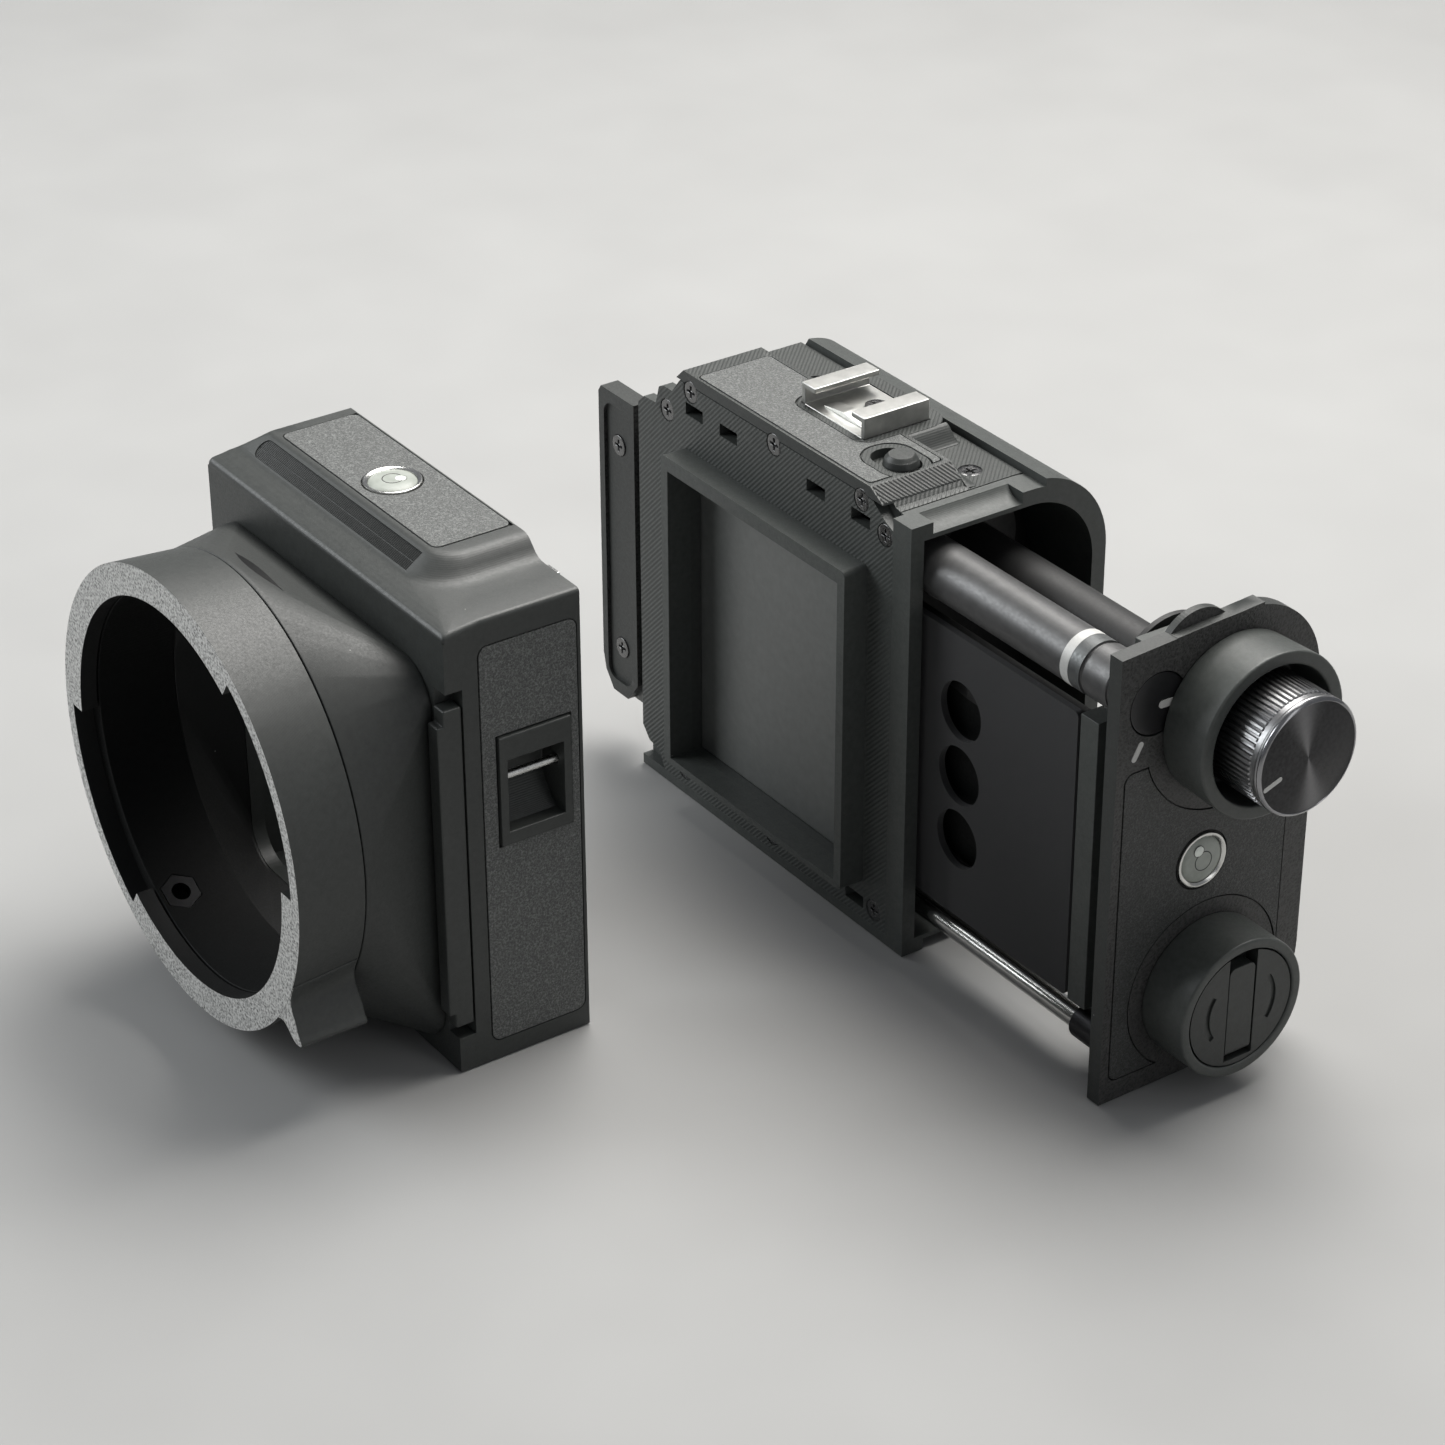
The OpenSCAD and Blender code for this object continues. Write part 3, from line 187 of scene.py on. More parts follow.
def plastic(name, base=CHARCOAL, layers=(0, 0, 1), pitch=0.28, depth=0.02, rough=0.5,
            hatch=None, hatch_side=(0, -1, 0), hatch_pitch=0.85, dust=0.55, speckle=None,
            painted_shade_inside=None, shine=0.5):
    """Printed plastic: fine layers, mottling, dust, and hatch lines or speckle on one side; a
    high speckle tone makes that side pale, which is painted light.

    The point for the inside is on a Y axis: faces turned towards that axis get painted shade,
    near black.
    """
    m = Nodes(name)
    mottle = m.noise(1.3, 5.0, 0.6)
    base_colour = m.colour(mottle, (0.3, shade(base, 0.86)), (0.7, shade(base, 1.16)))
    if speckle:
        side, tone = speckle
        grain = m.math("ADD", m.noise(0.5, 3.0, 0.7), m.math("MULTIPLY", m.cells(0.7), 0.35))
        # partly painted light: the speckle is real grain, but with a high tone the pale side
        # stands in for light falling on it
        pale = m.colour(grain, (0.46, shade(GREY, tone * 0.25)),
                        (0.78, shade(GREY, tone * 1.8)))
        base_colour = m.mix(m.facing(side), base_colour, pale)
        m.bump(m.math("MULTIPLY", grain, m.facing(side)), 0.16)
    if painted_shade_inside:
        # painted shade: faces turned in towards the axis, inside the throat, are darkened to near
        # black
        base_colour = m.mix(m.turned_in(painted_shade_inside), base_colour, (*shade(INNER, 0.35), 1))
    m.set(Base_Color=m.dust(base_colour, 6.5, dust),
          Roughness=m.ramp(m.noise(0.5, 4.0), 0.3, 0.7, rough - 0.07, rough + 0.07))
    m.shader.inputs["Specular IOR Level"].default_value = shine
    m.bump(m.noise(0.16, 3.0, 0.6), 0.016)
    m.bump(m.lines(layers, pitch), depth * 0.5)
    if hatch:
        m.bump(m.math("MULTIPLY", m.lines(hatch, hatch_pitch), m.facing(hatch_side)), 0.075)
    return m.mat


def leather(name, base):
    """Fine pebbled leatherette."""
    m = Nodes(name)
    pebble = m.cells(0.42, "SMOOTH_F1")
    grain = m.math("ADD", m.math("MULTIPLY", pebble, 0.7),
                   m.math("MULTIPLY", m.noise(0.3, 4.0), 0.6))
    speck = m.noise(0.22, 2.0, 0.7)
    tone = m.math("ADD", m.math("MULTIPLY", grain, 0.45), m.math("MULTIPLY", speck, 0.5))
    colour = m.colour(tone, (0.36, shade(base, 0.55)), (0.5, base), (0.66, shade(base, 2.3)))
    m.set(Base_Color=colour, Roughness=m.ramp(speck, 0.3, 0.7, 0.62, 0.45))
    m.bump(grain, 0.14)
    m.bump(speck, 0.05)
    return m.mat


def metal(name, base, rough, brush=None, brush_pitch=0.12, brush_depth=0.006, blotch=0.06,
          metallic=1.0, grain=0.006):
    """Bare or coated metal; blotch is how far its roughness strays, grain its unevenness."""
    m = Nodes(name)
    tone = m.noise(2.2, 4.0)
    m.set(Base_Color=m.colour(tone, (0.3, shade(base, 0.88)), (0.7, shade(base, 1.06))),
          Roughness=m.ramp(m.noise(0.7, 4.0), 0.3, 0.7, rough - blotch, rough + blotch))
    m.shader.inputs["Metallic"].default_value = metallic
    if brush:
        m.bump(m.lines(brush, brush_pitch), brush_depth)
    if grain:
        m.bump(m.noise(0.4, 3.0), grain)
    return m.mat


def turned(name, base, point, rough):
    """Metal turned on a lathe round an X axis: fine rings, and two pale wedges of painted
    highlight in its colour.
    """
    m = Nodes(name)
    radius = m.distance_to_axis(point, ALONG_X)
    rings = m.math("SINE", m.math("MULTIPLY", radius, 2 * math.pi / RING_PITCH))
    grain = m.noise(0.8, 4.0)
    away = m.vector("SUBTRACT", m.place, Vector(point) * MM)
    out = m.unit(m.vector("MULTIPLY", away, (0, 1, 1)))
    # painted highlight: two pale wedges across the axis, painted into the base colour; they turn
    # with the knob
    near = m.math("ABSOLUTE", m.vector("DOT_PRODUCT", out, PAINTED_HIGHLIGHT_WAY, "Value"))
    painted_highlight = m.math("POWER", near, PAINTED_HIGHLIGHT_NARROWNESS)
    tone = m.math("ADD", m.ramp(grain, 0.3, 0.7, 0.0, 0.12), m.math("MULTIPLY", painted_highlight, 0.8))
    m.set(Base_Color=m.colour(tone, (0.0, shade(base, 0.55)), (1.0, shade(base, 3.4))),
          Roughness=m.ramp(grain, 0.3, 0.7, rough - 0.05, rough + 0.05))
    m.shader.inputs["Metallic"].default_value = 1.0
    m.shader.inputs["Anisotropic"].default_value = 0.85
    around = m.add("Tangent", direction_type="RADIAL", axis="X")
    m.put(m.shader.inputs["Tangent"], around.outputs["Tangent"])
    m.bump(rings, 0.004)
    return m.mat


def flocked(name):
    """Short black fibres with a little pale lint."""
    m = Nodes(name)
    fibre = m.noise(0.12, 3.0, 0.7)
    speck = m.math("MULTIPLY", m.ramp(m.cells(2.6), 0.02, 0.05, 1.0, 0.0),
                   m.ramp(m.noise(3.0, 1.0), 0.5, 0.58))
    dark = m.colour(fibre, (0.35, (0.005, 0.005, 0.006)), (0.65, (0.016, 0.016, 0.017)))
    m.set(Base_Color=m.mix(m.math("MULTIPLY", speck, 0.8), dark, (0.22, 0.22, 0.21, 1)),
          Roughness=m.ramp(fibre, 0.3, 0.7, 0.85, 1.0))
    m.shader.inputs["Sheen Weight"].default_value = 0.12
    m.shader.inputs["Sheen Roughness"].default_value = 0.6
    m.bump(fibre, 0.1)
    return m.mat


def paint(name, base, rough=0.4):
    m = Nodes(name)
    m.set(Base_Color=m.colour(m.noise(0.6, 4.0), (0.3, shade(base, 0.9)), (0.7, base)),
          Roughness=m.ramp(m.noise(0.4), 0.3, 0.7, rough - 0.05, rough + 0.08))
    m.bump(m.noise(0.2, 3.0), 0.01)
    return m.mat


def liquid(name):
    """The pale liquid of a bubble level behind its clear lid."""
    m = Nodes(name)
    haze = m.noise(2.5, 2.0)
    m.set(Base_Color=m.colour(haze, (0.3, (0.26, 0.28, 0.25)), (0.7, (0.33, 0.35, 0.32))),
          Roughness=m.ramp(haze, 0.3, 0.7, 0.42, 0.5))
    m.shader.inputs["Coat Weight"].default_value = 0.15
    m.shader.inputs["Coat Roughness"].default_value = 0.3
    return m.mat


M = {
    "shell": plastic("printed_shell", shade(CHARCOAL, 1.6), layers=(1, 0, 0)),
    "plate": plastic("printed_hatched", shade(CHARCOAL, 1.5), hatch=(1, 0, -1), depth=0.01),
    "hood": plastic("printed_hood", shade(CHARCOAL, 1.75), layers=(0, 1, 0)),
    "cover": plastic("printed_cover", shade(CHARCOAL, 1.1), hatch=(1, 1, 0), hatch_side=(0, 0, 1),
                     hatch_pitch=0.8, depth=0.012),
    "side": plastic("printed_side", shade(CHARCOAL, 0.85), layers=(0, 0, 1), pitch=0.3,
                    depth=0.03, speckle=((1, 0, 0), 0.9)),
    "band": plastic("printed_band", shade(CHARCOAL, 0.5), layers=(1, 0, 0), depth=0.0, rough=0.42,
                    dust=0.2),
    "ribs": plastic("printed_ribs", shade(CHARCOAL, 0.8), layers=(0, 1, 0), depth=0.0,
                    rough=0.42),
    "ramp": plastic("printed_ramp", shade(CHARCOAL, 1.05), layers=(0, 0, 1), pitch=0.4,
                    depth=0.03),
    "collar": plastic("printed_collar", shade(CHARCOAL, 1.6), layers=(1, 0, 0), depth=0.01,
                      rough=0.46),
    "lens": plastic("printed_lens", CHARCOAL, layers=(0, 0, 1), depth=0.012, rough=0.48),
    "cone": plastic("printed_cone", shade(CHARCOAL, 0.85), layers=(0, 1, 0), pitch=0.25,
                    depth=0.006, rough=0.55, painted_shade_inside=THROAT),
    # partly painted light: the front face's speckle is real grain; its pale tone, ten times grey,
    # is painted light on that face
    "ring": plastic("printed_ring", layers=(0, 1, 0), depth=0.012, rough=0.5,
                    speckle=((0, -1, 0), 10.0), painted_shade_inside=THROAT),
    "inner": plastic("inner_black", shade(INNER, 0.45), layers=(1, 0, 0), rough=0.6, dust=0.3,
                     shine=0.15),
    "leather": leather("leatherette", shade(LEATHER, 1.5)),
    # painted shade: the side leather is the same leatherette as the rest, given a darker copy for
    # the side
    "side_leather": leather("leatherette_painted_shade", shade(LEATHER, 0.6)),
    "steel": metal("bare_steel", (0.62, 0.62, 0.60), 0.25),
    "folded": metal("folded_steel", (0.50, 0.50, 0.48), 0.36, blotch=0.03, grain=0.0),
    "bright": metal("polished_steel", (0.62, 0.62, 0.60), 0.2, blotch=0.03),
    "dark_metal": metal("black_steel", (0.05, 0.05, 0.052), 0.36),
    "screw": metal("screw_black", (0.16, 0.16, 0.16), 0.26),
    "chamfer": metal("turned_edge", (0.30, 0.30, 0.31), 0.2, blotch=0.03, grain=0.001),
    "knurl": metal("knurled_black", (0.27, 0.27, 0.275), 0.33, blotch=0.05, grain=0.002),
    # painted reflection: the sheet's base colour is raised far above near black to stand in for
    # the sheen it reflects
    "slide": metal("dark_slide", (0.118, 0.124, 0.119), 0.34, brush=(0, 0, 1), brush_pitch=0.5,
                   brush_depth=0.003, metallic=0.0),
    "roller": metal("roller_anodised", (0.10, 0.10, 0.10), 0.44, metallic=0.6),
    "spool": metal("spool_black", (0.012, 0.012, 0.012), 0.55, metallic=0.0),
    "face": turned("knob_face", (0.060, 0.060, 0.062), KNOB, 0.34),
    "dial": plastic("dial_black", (0.010, 0.010, 0.011), layers=(1, 0, 0), depth=0.0, rough=0.36,
                    dust=0.3),
    "mottled": metal("roller_end", (0.11, 0.115, 0.115), 0.46, blotch=0.12, metallic=0.6),
    "flock": flocked("black_flock"),
    "white": paint("white_mark", (0.50, 0.50, 0.485)),
    "key": plastic("printed_key", shade(CHARCOAL, 0.9), layers=(1, 0, 0), depth=0.01, rough=0.42),
    "liquid": liquid("level_liquid"),
    "bubble": paint("level_bubble", (0.80, 0.84, 0.78), 0.12),
    "ink": paint("level_ink", (0.03, 0.03, 0.03), 0.3),
}


# ---------------------------------------------------------------- making pieces
def loose(bm, name="cutter", scale=MM):
    """An object of its own from a bmesh in mm, with no material and no body."""
    bm.transform(Matrix.Scale(scale, 4))
    bmesh.ops.recalc_face_normals(bm, faces=bm.faces)
    mesh = bpy.data.meshes.new(name)
    bm.to_mesh(mesh)
    bm.free()
    obj = bpy.data.objects.new(name, mesh)
    bpy.context.scene.collection.objects.link(obj)
    return obj


def from_bmesh(name, bm, mat, body, replaces=(), scale=MM):
    """A finished piece from a bmesh, which rides on a body."""
    obj = loose(bm, name, scale)
    obj.data.materials.append(M[mat])
    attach(obj, body)
    if replaces:
        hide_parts(*replaces)
    return obj


def round_edges(obj, width, segments=2, angle=32):
    """Rounds the sharp edges and keeps the flat faces flat."""
    edge = obj.modifiers.new("edges", "BEVEL")
    edge.width = width * MM
    edge.segments = segments
    edge.limit_method = "ANGLE"
    edge.angle_limit = math.radians(angle)
    edge.miter_outer = "MITER_SHARP"
    obj.data.shade_smooth()
    smooth = obj.modifiers.new("normals", "WEIGHTED_NORMAL")
    smooth.keep_sharp = False
    smooth.weight = 80
    return obj


def carve(obj, cutter, how="DIFFERENCE"):
    """Takes the cutter's shape away from an object, or joins it on, and drops the cutter."""
    cut = obj.modifiers.new("cut", "BOOLEAN")
    cut.operation = how
    cut.solver = "EXACT"
    cut.object = cutter
    shape = obj.evaluated_get(bpy.context.evaluated_depsgraph_get())
    mesh = bpy.data.meshes.new_from_object(shape)
    obj.modifiers.clear()
    obj.data = mesh
    bpy.data.objects.remove(cutter)


def split_hollow_faces(obj):
    """Cuts faces that bend inwards into simple ones, which rounded edges need."""
    bm = bmesh.new()
    bm.from_mesh(obj.data)
    bmesh.ops.connect_verts_concave(bm, faces=bm.faces)
    bm.to_mesh(obj.data)
    bm.free()


def loft(rings):
    """A closed shape through rings of equally many points, in mm."""
    bm = bmesh.new()
    rows = [[bm.verts.new(p) for p in ring] for ring in rings]
    count = len(rows[0])
    for a, b in zip(rows, rows[1:]):
        for i in range(count):
            j = (i + 1) % count
            bm.faces.new((a[i], a[j], b[j], b[i]))
    bm.faces.new(rows[0])
    bm.faces.new(rows[-1])
    return bm


def face_up(obj):
    if obj.data.polygons[0].normal.z < 0:
        obj.data.flip_normals()


def patch(name, xs, ys, height, mat, body, flat=False):
    """A surface over a grid, z = height(x, y), in mm."""
    bm = bmesh.new()
    rows = [[bm.verts.new((x, y, height(x, y))) for x in xs] for y in ys]
    for a, b in zip(rows, rows[1:]):
        for i in range(len(xs) - 1):
            bm.faces.new((a[i], a[i + 1], b[i + 1], b[i]))
    obj = from_bmesh(name, bm, mat, body)
    face_up(obj)
    if not flat:
        obj.data.shade_smooth()


def steps(low, high, count):
    return [low + (high - low) * i / count for i in range(count + 1)]


def dress(node, mat, width, keep=None, cutters=(), joined=()):
    """A copy of a CAD node with its edges rounded by width mm, which replaces the node."""
    bm = bmesh.new()
    bm.from_mesh(frame["nodes"][node].data)
    bmesh.ops.remove_doubles(bm, verts=bm.verts, dist=SAME_POINT)
    if keep:
        keep(bm)
    bmesh.ops.dissolve_limit(bm, angle_limit=math.radians(FLAT_DEGREES), verts=bm.verts,
                             edges=bm.edges)
    obj = from_bmesh(node + "_skin", bm, mat, BODY_OF[node], (node,), 1.0)
    for cutter in joined:
        carve(obj, cutter, "UNION")
    for cutter in cutters:
        carve(obj, cutter)
    split_hollow_faces(obj)
    return round_edges(obj, width)


def across(x0, x1, outline):
    """A shape pushed along X from an outline in Y and Z, in mm."""
    return loft([[(x, y, z) for y, z in outline] for x in (x0, x1)])


def basis(axis):
    """Three directions, the first along axis."""
    x = Vector(axis).normalized()
    up = Vector((0, 0, 1)) if abs(x.z) < 0.9 else Vector((0, 1, 0))
    y = (up - x * up.dot(x)).normalized()
    return x, y, x.cross(y)


def lathe(name, profile, origin, axis, mat, body, sides=96, replaces=()):
    """Spins (along, radius) points round an axis."""
    bm = bmesh.new()
    x, y, z = basis(axis)
    turns = [2 * math.pi * i / sides for i in range(sides)]
    rings = []
    for along, radius in profile:
        at = Vector(origin) + x * along
        if radius == 0:
            rings.append([bm.verts.new(at)] * sides)
        else:
            rings.append([bm.verts.new(at + (y * math.cos(t) + z * math.sin(t)) * radius)
                          for t in turns])
    for a, b in zip(rings, rings[1:]):
        for i in range(sides):
            j = (i + 1) % sides
            corners = list(dict.fromkeys((a[i], a[j], b[j], b[i])))
            if len(corners) > 2:
                bm.faces.new(corners)
    shade_round(from_bmesh(name, bm, mat, body, replaces), 35)


def shade_round(obj, degrees):
    """Smooth shading, with edges over an angle kept sharp."""
    obj.data.shade_smooth()
    bm = bmesh.new()
    bm.from_mesh(obj.data)
    for e in bm.edges:
        if len(e.link_faces) == 2 and e.calc_face_angle(0) > math.radians(degrees):
            e.smooth = False
    bm.to_mesh(obj.data)
    bm.free()


def circle(name, centre, axis, radius, count, thick, mat, body, sides=8):
    """A thin round line along a circle of count points."""
    bm = bmesh.new()
    x, y, z = basis(axis)
    last = 360 * (count - 1) / count
    points = [Vector(centre) + (y * math.cos(t) + z * math.sin(t)) * radius
              for t in [math.radians(a) for a in steps(0, last, count - 1)]]
    rings = []
    side = None
    for i, p in enumerate(points):
        way = (points[(i + 1) % count] - points[i - 1]).normalized()
        if side is None:
            side = way.orthogonal().normalized()
        side = (side - way * side.dot(way)).normalized()
        up = way.cross(side)
        rings.append([bm.verts.new(p + (side * math.cos(t) + up * math.sin(t)) * thick)
                      for t in [2 * math.pi * k / sides for k in range(sides)]])
    for a, b in zip(rings, rings[1:] + rings[:1]):
        for k in range(sides):
            bm.faces.new((a[k], a[(k + 1) % sides], b[(k + 1) % sides], b[k]))
    from_bmesh(name, bm, mat, body).data.shade_smooth()


# ---------------------------------------------------------------- nodes kept as they are
def give(node, mat):
    obj = frame["nodes"][node]
    for slot in obj.material_slots:
        slot.material = M[mat]
    if not obj.material_slots:
        obj.data.materials.append(M[mat])


for node, mat in {
    "slide_guide": "dark_metal", "button_spring": "steel", "plate_springs": "dark_metal",
    "advance_shaft": "steel", "take_up_spool": "spool", "guide_rod": "bright",
    "spool_pins": "steel", "supply_plunger": "steel", "key_grip_pin": "steel",
    "strap_pins": "steel", "seat_nut": "dark_metal", "tripod_bush": "steel",
}.items():
    give(node, mat)

# ---------------------------------------------------------------- CAD shapes with soft edges
for node, mat, width in (
    ("front_plate", "plate", 0.22), ("gate_hood", "hood", 0.9),
    ("dark_slide_handle", "side", 0.45),
    ("end_block", "shell", 0.3), ("film_carrier", "inner", 0.3), ("knob_collar", "collar", 0.5),
    ("key_collar", "collar", 0.5), ("supply_key", "key", 0.3), ("key_grip", "key", 0.45),
    ("lens_cone", "cone", 0.25), ("lens_seat", "inner", 0.2),
    ("strap_frames", "lens", 0.3), ("latch_bar", "lens", 0.4),
    ("rear_frame", "lens", 0.2), ("rear_baffle", "inner", 0.2), ("pressure_plate", "flock", 0.2),
    ("deck_leather", "leather", 0.12), ("side_leather", "side_leather", 0.12),
    ("lens_deck_leather", "leather", 0.12), ("lens_side_leather", "leather", 0.12),
    ("hook_plate", "steel", 0.2), ("rod_sleeve", "dark_metal", 0.3),
    ("release_button", "key", 0.3), ("dark_slide_sheet", "slide", 0.1),
    ("counter_roller", "roller", 0.35), ("accessory_shoe", "folded", 0.5),
    ("cover_screws", "screw", 0.12), ("plate_screws", "screw", 0.12),
    ("handle_screws", "screw", 0.12),
    ("shoe_spring", "folded", 0.1),
):
    dress(node, mat, width)

# ---------------------------------------------------------------- lens body: deck and box
LX, LY = 31.3, -121.6  # the box's right side and front
BOX_W, BOX_D = 92.0, 30.4
JOIN, ROOF, DECK = 97.3, 100.0, 104.0  # heights of the cut, the roof and the raised deck
LEVEL_AT, LEVEL_R, LEVEL_DEEP = Vector((-21.0, -101.2)), 6.05, 2.4
LEATHER_DEEP = 0.6


def deck_ring(front, right, left, radius, level, rear=BOX_D, left_radius=0.8):
    """An outline of the lens deck seen from above; level is a height or a function of y."""
    x0, x1 = -BOX_W + left, -right
    points = [(x1, y) for y in steps(rear, front + radius, 4)]
    for a in steps(0, 90, 12)[1:]:
        t = math.radians(a)
        points.append((x1 - radius + radius * math.cos(t), front + radius - radius * math.sin(t)))
    points += [(x, front) for x in steps(x1 - radius, x0 + left_radius, 8)[1:]]
    for a in steps(0, 90, 5)[1:]:
        t = math.radians(a)
        points.append((x0 + left_radius - left_radius * math.sin(t),
                       front + left_radius - left_radius * math.cos(t)))
    points += [(x0, y) for y in steps(front + left_radius, rear, 4)[1:]]
    high = level if callable(level) else lambda y: level
    return [(x + LX, y + LY, high(y)) for x, y in points]


def front_fall(drop):
    """The roof falls a little towards the front."""
    return lambda y: ROOF - 1.2 * max(0.0, (5 - y) / 5) - drop


EDGE, CORNER = 1.0, 0.6
rings = [deck_ring(0, 0, 0, CORNER, level, left_radius=CORNER) for level in (JOIN, JOIN + 0.2)]
for a in steps(0, 90, 5):
    t = math.radians(a)
    inset = EDGE * (1 - math.cos(t))
    rings.append(deck_ring(inset, inset, inset, CORNER + inset * 0.5,
                           front_fall(EDGE * (1 - math.sin(t)))))
rings.append(deck_ring(3.6, 8.0, 1.2, 6.0, front_fall(0)))
# the slopes up to the deck: height, and how far the front and the right side have come
for rise, front, right in ((0, 0, 0), (0.03, 0.07, 0.17), (0.10, 0.16, 0.30), (0.25, 0.282, 0.42),
                           (0.5, 0.485, 0.54), (0.75, 0.688, 0.66), (0.90, 0.81, 0.76),
                           (0.97, 0.88, 0.85), (1.0, 0.99, 1.0)):
    rings.append(deck_ring(5 + 7 * front, 12 + 8 * right, 1.4 + 4.6 * rise, 9.5 - 3.5 * rise,
                           ROOF + (DECK - ROOF) * rise))
recess = deck_ring(12.2, 22.7, 8.7, 1.9, DECK, 30.1, 1.9)
rings.append(recess)
rings.append([(x, y, DECK - LEATHER_DEEP) for x, y, z in recess])
around = []
for x, y, z in recess:
    way = (Vector((x, y)) - LEVEL_AT).normalized() * LEVEL_R
    around.append((LEVEL_AT.x + way.x, LEVEL_AT.y + way.y))
rings += [[(x, y, DECK - deep) for x, y in around] for deep in (LEATHER_DEEP, LEVEL_DEEP)]


def slope(y):
    """Height of the deck's front slope at a world y."""
    return 100.4 + (y - LY - 6.12) * 3.2 / 4.55


# the ribbed band in the front slope is round at its left end
BAND_X0, BAND_X1 = LX - 85.0, LX - 24.0
BAND_Y0, BAND_Y1 = LY + 6.5, LY + 10.3
BAND_DEEP, BAND_PITCH = 0.35, 0.56
half = (BAND_Y1 - BAND_Y0) / 2
mid = BAND_Y0 + half
plan = [(BAND_X1, BAND_Y0), (BAND_X1, BAND_Y1)]
plan += [(BAND_X0 + half - half * math.sin(math.radians(a)),
          mid + half * math.cos(math.radians(a))) for a in steps(0, 180, 14)]
cutter = loft([[(x, y, slope(y) - BAND_DEEP) for x, y in plan],
               [(x, y, DECK + 6) for x, y in plan]])
lens_deck = from_bmesh("lens_deck_form", loft(rings), "lens", "lens_body")
carve(lens_deck, loose(cutter))
shade_round(lens_deck, 38)


def band_height(x, y):
    ridge = abs((x / BAND_PITCH) % 1 - 0.5) * 2
    seam = 0.22 if abs(y - mid) < 0.09 else 0.0
    return slope(y) - BAND_DEEP + 0.02 + 0.2 * ridge - seam


patch("lens_deck_ribs", steps(BAND_X0, BAND_X1, 436),
      [BAND_Y0, mid - 0.1, mid - 0.08, mid + 0.08, mid + 0.1, BAND_Y1], band_height, "band",
      "lens_body", True)


def below_deck(bm):
    """Keeps what is below the cut, since lens_deck_form stands for the rest."""
    bmesh.ops.bisect_plane(bm, geom=bm.verts[:] + bm.edges[:] + bm.faces[:], dist=1e-7,
                           plane_co=(0, 0, JOIN * MM), plane_no=(0, 0, 1), clear_outer=True)


dress("lens_housing", "lens", 0.6, keep=below_deck)

# ribbed ramps in the strap windows
RAMP_STEPS, RAMP_START, RAMP_END = 60, 0.5, 8.5
RAMP_FOOT, RAMP_RISE, RAMP_RIDGE = 51.2, 9.5, 0.1
for side, outer, inwards in (("right", LX, -1), ("left", LX - BOX_W, 1)):
    bm = bmesh.new()
    rows = []
    for i, deep in enumerate(steps(RAMP_START, RAMP_END, RAMP_STEPS)):
        high = RAMP_FOOT + RAMP_RISE * (deep / RAMP_END) ** 1.9 - RAMP_RIDGE * (i % 2)
        rows.append([bm.verts.new((outer + inwards * deep, y, high)) for y in (-108.7, -96.1)])
    for a, b in zip(rows, rows[1:]):
        bm.faces.new((a[0], a[1], b[1], b[0]))
    face_up(from_bmesh("strap_ramp_" + side, bm, "lens", "lens_body"))

# ---------------------------------------------------------------- lock ring and its thumb tab
RING_Y, RING_R, RING_D = -156.4, 48.1, 15.3  # its front face, radius and depth
RING_FALL = 1.1 / RING_D  # how much its radius falls per mm towards the rear
TAB_TURN = math.radians(-38)
TAB_GAP = 0.04  # keeps the tab's faces off the ring's


def ring_point(out, along, y):
    """out is away from the ring's middle, along is counter-clockwise, at the thumb tab."""
    return (THROAT[0] + out * math.cos(TAB_TURN) - along * math.sin(TAB_TURN), y,
            THROAT[2] + out * math.sin(TAB_TURN) + along * math.cos(TAB_TURN))


def tab_cut(y):
    """An area outside the ring, round the thumb tab."""
    radius = RING_R + TAB_GAP - (y - RING_Y) * RING_FALL
    arc = [(radius * math.cos(t), radius * math.sin(t))
           for t in [math.radians(a) for a in steps(-28, 12, 40)]]
    return [ring_point(o, a, y) for o, a in arc + [(62, 12), (62, -28)]]


def tab_ring(y):
    """The tab's outline, which follows the ring's taper at its foot."""
    return [ring_point(o - RING_FALL * (y - RING_Y) * min(1, max(0, (53 - o) / 3)), a, y)
            for o, a in TAB_OUTLINE]


TAB_OUTLINE = (
    (47.3, 10.5), (47.5, 8.8), (48.1, 7.0), (48.9, 5.8), (50.1, 4.9), (51.7, 4.2), (53.1, 3.4),
    (54.3, 2.6), (55.1, 2.3), (55.8, 2.3), (56.3, 1.8), (56.2, 1.0), (55.6, 0.3), (54.6, -0.4),
    (53.0, -0.6), (51.3, -0.5), (49.9, -0.7), (48.8, -1.5), (48.0, -2.8), (47.6, -4.2),
    (46.9, -4.2), (46.3, 3.0), (46.6, 10.5))
tab_away = loft([tab_cut(y) for y in (RING_Y - 1, RING_Y + RING_D + 1)])
dress("lock_ring", "ring", 0.4, cutters=(loose(tab_away),))
tab = loft([tab_ring(y) for y in steps(RING_Y + TAB_GAP, RING_Y + RING_D - 0.5, 6)])
round_edges(from_bmesh("thumb_tab", tab, "ring", BODY_OF["lock_ring"]), 0.45, 3, 50)

# ---------------------------------------------------------------- film back: deck details
COVER_BODY = BODY_OF["top_cover"]


def backwards(y0, y1, outline):
    """A cutter or filler pushed along Y from an outline in X and Z."""
    return loose(loft([[(x, y, z) for x, z in outline] for y in (y0, y1)]))


# the left shoulder is closed over the spool's round pocket
shoulder = backwards(-8.5, 14.0, ((-46.4, 86.0), (-46.4, 89.76), (-43.6, 91.65), (-43.6, 88.0)))
dress("back_shell", "shell", 0.45, joined=(shoulder,))
strip = backwards(-26, -4.2, ((38.3, 101.62), (39.7, 100.36), (41.2, 100.22), (41.2, 102.5),
                              (38.3, 102.5)))
dress("top_cover", "cover", 0.35, cutters=(strip,))

